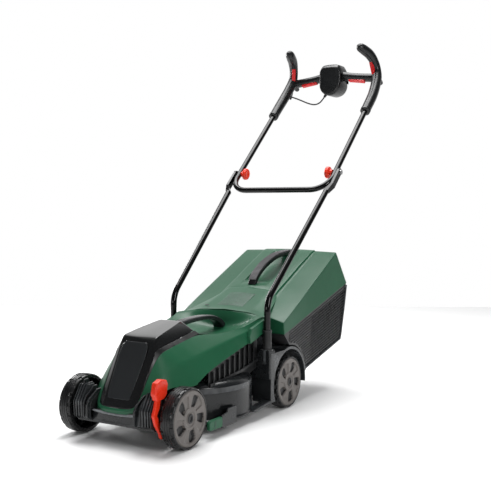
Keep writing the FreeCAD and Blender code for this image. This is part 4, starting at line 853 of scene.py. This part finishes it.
# ------------------------------------------------------------------ grass box lower half
lower = cad("box_lower", "trim")
for s, n in ((1, "left"), (-1, "right")):
    count = 17
    for q in range(count):
        f0 = (q + 0.5) / count
        # slats run along the box between the lower and the upper edge lines
        def pt(yy, f):
            zl = 152 + (yy - 857) * 0.2182 + 9
            zu = 217 + (yy - 465) * 0.2706 - 4
            z = zl + (zu - zl) * f
            x = 173.0 + 6.4 * ((z - zl) / max(zu - zl, 1)) - 1.6
            return x, z
        y_start = 500 + 0
        pts = []
        steps = 18
        y_a = None
        for k2 in range(60):
            yy = 500 + k2 * 6
            x, z = pt(yy, f0)
            if math.hypot(yy - WB, z - AZ * 1000) > 113:
                y_a = yy
                break
        y_b = 857 + 32 * f0 - 7
        verts, faces = [], []
        for k2 in range(steps + 1):
            yy = y_a + (y_b - y_a) * k2 / steps
            x, z = pt(yy, f0)
            for dx, dz in ((0.6, -2.1), (3.0, -0.7), (3.0, 0.7), (0.6, 2.1), (-1.2, 2.1), (-1.2, -2.1)):
                verts.append(P(s * (x + dx), yy, z + dz))
        m6 = 6
        for k2 in range(steps):
            for j in range(m6):
                faces.append((k2 * m6 + j, k2 * m6 + (j + 1) % m6, (k2 + 1) * m6 + (j + 1) % m6, (k2 + 1) * m6 + j))
        faces.append(tuple(range(m6)))
        faces.append(tuple(steps * m6 + j for j in range(m6)))
        add("box_slat_%s_%d" % (n, q), verts, faces, "slat", "grass_box", smooth=False)
    # dark backing just behind the slats, painted shade standing in for the hollow inside the box, and upright bars
    # behind the slats
    shade_backing = []
    for yy, zz in ((604, 104), (636, 111), (845, 157), (862, 165), (880, 318), (636, 253), (604, 240), (604, 170)):
        zl, zu = 152 + (yy - 857) * 0.2182, 217 + (yy - 465) * 0.2706
        shade_backing.append((yy, zz, 171.2 + 6.4 * (zz - zl) / (zu - zl)))
    n8 = len(shade_backing)
    vs = [P(s * (x - 1.6), yy, zz) for yy, zz, x in shade_backing] + [P(s * (x - 2.6), yy, zz) for yy, zz, x in shade_backing]
    fs = [tuple(range(n8)), tuple(range(2 * n8 - 1, n8 - 1, -1))] + [(i, (i + 1) % n8, n8 + (i + 1) % n8, n8 + i) for i in range(n8)]
    add("box_shade_backing_" + n, vs, fs, "trim", "grass_box", smooth=False)
    for q in range(26):
        yy = 612 + 10.0 * q
        zl, zu = 152 + (yy - 857) * 0.2182 + 6, 217 + (yy - 465) * 0.2706 - 3
        if yy > 846:
            zl += (yy - 846) * 6
        if zl > zu - 20:
            continue
        pts = []
        for dy in (-0.9, 0.9):
            for zz in (zl, zu):
                x = 171.2 + 6.4 * (zz - zl) / (zu - zl)
                for dx in (-1.6, 0.9):
                    pts.append(P(s * (x + dx), yy + dy, zz))
        add("box_upright_%s_%d" % (n, q), pts, [(0, 1, 3, 2), (4, 6, 7, 5), (0, 4, 5, 1), (2, 3, 7, 6), (0, 2, 6, 4), (1, 5, 7, 3)], "slat", "grass_box", smooth=False)
    # rim around the slatted panel
    lowline = [(s * 173.4, 600, 97), (s * 172.6, 690, 117), (s * 172, 780, 136.5), (s * 171.6, 846, 151.5), (s * 172.4, 857, 158), (s * 174.6, 866, 205), (s * 177.4, 876, 265), (s * 179.4, 886, 326)]
    sweep("box_rim_" + n, lowline, [4.2] * 8, "fender", "grass_box", seg=16, per=5)
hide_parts("box_slats_left")
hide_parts("box_slats_right")

# ------------------------------------------------------------------ grass box handle
BH = [(0, 590, 340), (0, 600, 357), (0, 622, 376), (0, 655, 395), (0, 695, 411), (0, 740, 422.5), (0, 785, 427.5), (0, 820, 430), (0, 834, 430)]


def strap2(a, s):
    c, d = abs(math.cos(a)), abs(math.sin(a))
    k = (c ** 5 + d ** 5) ** -0.2
    return (1.75 * k, 0.85 * k)


bh = sweep("box_handle_core", BH, [7.6, 7.8, 8.0, 8.2, 8.4, 8.4, 8.0, 7.4, 7.0], "slat", "grass_box", seg=36, per=6, shape=strap2)
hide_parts("box_handle")
line = catmull([P(*p) for p in BH], 12)
for i in range(10, len(line) - 10, 2):
    p, t = line[i], (line[i + 1] - line[i - 1]).normalized()
    nrm = Vector((1, 0, 0)).cross(t)
    if nrm.z < 0:
        nrm = -nrm
    c0 = p + nrm * 0.0076
    vs = []
    for dt in (-0.0022, 0.0022):
        for dx in (-0.0128, 0.0128):
            for dn in (-0.001, 0.0011):
                vs.append(c0 + t * dt + Vector((dx, 0, 0)) + nrm * dn)
    f = [(0, 1, 3, 2), (4, 6, 7, 5), (0, 4, 5, 1), (2, 3, 7, 6), (0, 2, 6, 4), (1, 5, 7, 3)]
    rb = add("box_handle_rib_%d" % i, vs, f, "boxgrip", "grass_box", smooth=True)
    bevel(rb, 0.7, 2)
    wn(rb)

# ------------------------------------------------------------------ lever
lv = prism("lever_paddle", [(-51, 127), (-39, 136), (-34.5, 160), (-39, 171.5), (-60, 176), (-79, 169), (-84.5, 143), (-77, 127)], 121.5, 137.3, "red", "front_crank", 3.0, 4, slot="red_plastic")
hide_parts("height_lever")
prism("lever_stem", [(-58, 130), (-63, 108), (-73, 92), (-63, 72), (-50, 52), (-43, 34), (-47, 31), (-56, 32), (-62, 46), (-78, 68), (-87.5, 92), (-80, 110), (-75, 130)], 125.5, 134.0, "red", "front_crank", 2.0, 3, slot="red_plastic")

# ------------------------------------------------------------------ grips and bars
for s, n in ((1, "left"), (-1, "right")):
    path = [(177, 1041, 903), (177, 1052, 913), (177, 1080, 938.6), (176, 1108, 965), (172.5, 1138, 998), (168, 1162, 1030), (164.5, 1170, 1056), (159.5, 1162, 1083), (151.5, 1139, 1107), (143, 1109, 1120), (137, 1088, 1126.5), (134.6, 1078.5, 1129)]
    rad = [16.0, 16.4, 16.9, 17.2, 17.4, 17.4, 15.2, 15.2, 16.8, 16.8, 14.6, 9.0]
    g = sweep("grip_sleeve_" + n, [(s * x, y, z) for x, y, z in path], rad, "grip", "upper_handle", seg=40, per=7, shape=lambda a, t: (1.0, 1.0 + 0.03 * math.sin(t * math.pi)))
    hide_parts("grip_" + n)
    sweep("grip_collar_" + n, [(s * 177, 1038.5, 900.8), (s * 177, 1046, 907.6), (s * 177, 1050, 911.2)], [16.8, 17.3, 16.2], "grip", "upper_handle", seg=40, per=3)
    bp = [(151, 1171, 1031.5), (140, 1170, 1033), (110, 1169, 1036), (75, 1168, 1040), (45, 1168, 1044.5), (30, 1168, 1046)]
    b = sweep("bar_half_" + n, [(s * x, y, z) for x, y, z in bp], [15.4, 14.8, 14.4, 14.6, 15.8, 17.2], "grip", "upper_handle", seg=40, per=6, up=Vector((0, 1, 0)))
    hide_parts("grip_bar_" + n)
    # small lobes behind the junction and the hook fin under it
    sweep("grip_lobe_" + n, [(s * 166, 1176, 1030), (s * 166, 1192, 1022), (s * 166, 1203, 1016), (s * 166, 1207, 1013)], [10.5, 9.5, 8.4, 5.0], "grip", "upper_handle", seg=28, per=4)
    prism("grip_fin_" + n, [(1150, 1002), (1168, 1012), (1176, 1004), (1168, 986), (1160, 974), (1153, 976), (1156, 990)], *((168, 173) if s > 0 else (-173, -168)), "grip", "upper_handle", 1.5, 3, slot="grip_black")
    cad("horn_trigger_" + n, "redpad")
    cad("bar_trigger_" + n, "redpad")

# switch housing: round drum with a faceted hood
dl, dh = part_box("switch_drum")
dz = (dl.z + dh.z) / 2 * 1000
prof = [(1128.4, 0.0), (1128.4, 30), (1128.8, 34.5), (1130.2, 37.6), (1133, 39.4), (1138, 40), (1196, 40), (1202, 38.6), (1205.6, 34), (1206, 0.0)]
verts, faces = [], []
k, m = len(prof), 72
for i in range(m):
    a = 2 * math.pi * i / m
    for yv, r in prof:
        verts.append(P(r * math.cos(a), yv, dz + r * math.sin(a)))
for i in range(m):
    j = (i + 1) % m
    for s in range(k - 1):
        faces.append((i * k + s, i * k + s + 1, j * k + s + 1, j * k + s))
dr = add("drum_shell", verts, faces, "grip", "upper_handle")
bm = bmesh.new(); bm.from_mesh(dr.data); bmesh.ops.remove_doubles(bm, verts=bm.verts, dist=1e-6); bmesh.ops.recalc_face_normals(bm, faces=bm.faces); bm.to_mesh(dr.data); bm.free()
dr.data.set_sharp_from_angle(angle=math.radians(50))
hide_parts("switch_drum")
hood_rows = []
for x, yf, zf, yt, z0, z1 in ((0, 1127.8, 1076, 1141, 1026, 1087), (22, 1127.8, 1076, 1141, 1026, 1086.8), (31, 1128.4, 1073, 1142, 1026, 1083.5), (38.5, 1131.5, 1062, 1144, 1022, 1071), (41.5, 1136, 1048, 1148, 1018, 1055)):
    hood_rows.append([P(x, yf, z0), P(x, yf, (z0 + zf) / 2), P(x, yf, zf), P(x, yt, z1), P(x, 1190, z1 + 0.2), P(x, 1200, z1 - 8), P(x, 1206, (z0 + z1) / 2), P(x, 1205, z0)])
hd = grid("hood_shell", hood_rows, "grip", "upper_handle", col_crease={3: 0.6, 2: 0.6, 4: 0.4, 0: 1.0}, row_crease={2: 0.6, 3: 0.4, 4: 0.6}, mirrored=True, level=2)
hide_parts("switch_hood")
cad("lock_button", "trim")

# ------------------------------------------------------------------ cable
ROUTE = [(-23.6, 1140, 973.2), (-35, 1141, 958.8), (-51, 1143, 949.8), (-70, 1145, 948.6), (-93, 1144, 955.5), (-119, 1140, 967.5), (-142, 1135, 977.0), (-158.6, 1131, 982.3)]
cu = bpy.data.curves.new("cable_line", "CURVE")
cu.dimensions = "3D"
sp = cu.splines.new("NURBS")
sp.points.add(len(ROUTE) - 1)
for pnt, c in zip(sp.points, ROUTE):
    v = P(*c)
    pnt.co = (v.x, v.y, v.z, 1)
sp.order_u = 3
sp.use_endpoint_u = True
sp.resolution_u = 16
cu.bevel_depth = 0.0025
cu.bevel_resolution = 6
cu.use_fill_caps = True
cord = bpy.data.objects.new("switch_lead", cu)
scene.collection.objects.link(cord)
cord.data.materials.append(M["cable"])
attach(cord, "upper_handle")
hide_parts("switch_cable")
cad("cable_gland", "cable")

# ------------------------------------------------------------------ grass combs: green block with a dark tab behind
for s, nn in ((1, "left"), (-1, "right")):
    blk = prism("comb_block_" + nn, [(84, 26), (82, 44), (88, 50), (140, 50), (143, 46), (143, 26), (138, 24), (90, 24)], *((168, 177.6) if s > 0 else (-177.6, -168)), "green", "root", 2.2, 4, slot="green_abs")
    if s > 0:
        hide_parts("grass_combs")
    # a darker green patch over the notch: painted shade in the recess
    prism("comb_notch_shade_" + nn, [(104, 30), (104, 45), (112, 45), (112, 30)], *((177.0, 178.2) if s > 0 else (-178.2, -177.0)), "green_dark", "root", 0.4, 2, slot="green_abs")
    prism("comb_tab_" + nn, [(141, 21), (141, 52), (166, 57), (170, 66), (210, 66), (210, 21)], *((172, 177.4) if s > 0 else (-177.4, -172)), "deck", "root", 1.2, 3, slot="dark_deck")
    prism("comb_foot_" + nn, [(110, 28), (110, 40), (190, 40), (190, 28)], *((150, 173) if s > 0 else (-173, -150)), "deck", "root", 1.0, 3, slot="dark_deck")

# ------------------------------------------------------------------ wing knobs
for s, nn in ((1, "left"), (-1, "right")):
    kl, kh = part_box("knob_" + nn)
    ky, kz = ((kl.y + kh.y) / 2 - AX) * 1000, (kl.z + kh.z) / 2 * 1000
    prof = [(167.5, 4.3), (167.5, 9.0), (159, 9.2), (158.2, 10.5), (158.0, 0.90), (157.0, 0.97), (154.5, 1.0), (149.0, 1.0), (146.6, 0.95), (145.4, 0.86), (145.1, 0.55), (146.2, 0.42), (146.4, 0.0)]
    verts, faces = [], []
    m, k = 72, len(prof)
    for i in range(m):
        a = 2 * math.pi * i / m
        lobe = 16.9 + 2.5 * abs(math.cos(a)) ** 1.6 + 0.35 * math.cos(18 * a)
        for x, r in prof:
            rr = r if r > 3 else r * lobe
            verts.append(P(s * x, ky + rr * math.cos(a + 0.9), kz + rr * math.sin(a + 0.9)))
    for i in range(m):
        j = (i + 1) % m
        for q in range(k - 1):
            faces.append((i * k + q, i * k + q + 1, j * k + q + 1, j * k + q))
    ko = add("knob_wing_" + nn, verts, faces, "red", "knob_" + nn)
    ko.data.set_sharp_from_angle(angle=math.radians(48))
    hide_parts("knob_" + nn)

# ------------------------------------------------------------------ carried-over CAD pieces
for nme, mt in (("front_crank", "tube"), ("rear_crank", "tube"), ("front_axle_clips", "steel"), ("rear_axle_clips", "steel"), ("crank_bushes", "trim"), ("height_link", "steel"),
                ("battery_pack", "trim"), ("battery_dock", "slat"), ("control_board", "board"), ("motor", "motor"), ("motor_screws", "steel"), ("motor_shaft", "steel"), ("blade_holder", "trim"), ("blade", "bladesteel"), ("blade_bolt", "steel"),
                ("lower_tube_left", "tube"), ("lower_tube_right", "tube"), ("tube_sleeves", "trim"), ("handle_bolts", "steel"), ("upper_tube", "tube"), ("flap_pin", "steel"), ("flap_brackets", "green")):
    cad(nme, mt)

# ------------------------------------------------------------------ stage and light
fm, nt, bs = new_mat("floor_pale")
tc = node(nt, "ShaderNodeTexCoord")
nz = noise_tex(nt, tc.outputs["Object"], 3.0, 3.0)
link(nt, mix_rgb(nt, nz.outputs["Fac"], (0.90, 0.90, 0.90), (0.92, 0.92, 0.92)), bs.inputs["Base Color"])
bs.inputs["Roughness"].default_value = 0.75
fme = bpy.data.meshes.new("floor")
fv, ff = [], []
for i, (d, z) in enumerate(((-9, 0), (-2, 0), (2.0, 0), (2.3, 0))):
    for wv in (-9, 9):
        fv.append((-0.52 * d + 0.853 * wv, 0.853 * d + 0.52 * wv, z))
    if i:
        ff.append((2 * i - 2, 2 * i - 1, 2 * i + 1, 2 * i))
fme.from_pydata(fv, [], ff)
for pp in fme.polygons:
    pp.use_smooth = True
fme.materials.append(fm)
floor = bpy.data.objects.new("floor", fme)
scene.collection.objects.link(floor)
world = bpy.data.worlds.new("studio")
scene.world = world
world.use_nodes = True
wt = world.node_tree
bg = wt.nodes["Background"]
wc = node(wt, "ShaderNodeTexCoord")
wd = node(wt, "ShaderNodeVectorMath", operation="DOT_PRODUCT")
link(wt, wc.outputs["Generated"], wd.inputs[0])
wd.inputs[1].default_value = (-0.52, 0.853, 0.0)
wr = node(wt, "ShaderNodeMapRange", interpolation_type="SMOOTHSTEP")
wr.inputs["From Min"].default_value = 0.30
wr.inputs["From Max"].default_value = 0.88
link(wt, wd.outputs["Value"], wr.inputs["Value"])
ws = node(wt, "ShaderNodeSeparateXYZ")
link(wt, wc.outputs["Generated"], ws.inputs[0])
wz = node(wt, "ShaderNodeMapRange", interpolation_type="SMOOTHSTEP")
wz.inputs["From Min"].default_value = 0.72
wz.inputs["From Max"].default_value = 0.98
wz.inputs["To Max"].default_value = 0.65
link(wt, ws.outputs["Z"], wz.inputs["Value"])
wm = node(wt, "ShaderNodeMath", operation="MAXIMUM")
link(wt, wr.outputs["Result"], wm.inputs[0])
link(wt, wz.outputs["Result"], wm.inputs[1])
link(wt, mix_rgb(wt, wm.outputs[0], (0.10, 0.103, 0.106), (1.0, 1.0, 1.0)), bg.inputs["Color"])
bg.inputs["Strength"].default_value = 1.0


def area(name, loc, target, size, power, size_y=None):
    d = bpy.data.lights.new(name, "AREA")
    d.shape = "RECTANGLE"
    d.size, d.size_y = size, size_y or size
    d.energy = power
    o = bpy.data.objects.new(name, d)
    scene.collection.objects.link(o)
    o.location = loc
    o.rotation_euler = (Vector(target) - Vector(loc)).to_track_quat("-Z", "Y").to_euler()
    return o


area("key_top", (-0.3, 0.5, 2.9), (0, 0.05, 0.3), 2.2, 96, 1.8)
area("left_back", (-2.9, 0.9, 1.5), (0, 0, 0.5), 0.6, 52, 1.8)
area("front_right", (3.0, -1.3, 1.5), (0, 0, 0.3), 0.6, 40, 1.6)
area("low_fill", (-0.4, -3.4, 0.7), (0, 0, 0.3), 1.6, 9, 0.5)
scene.view_settings.view_transform = "Standard"
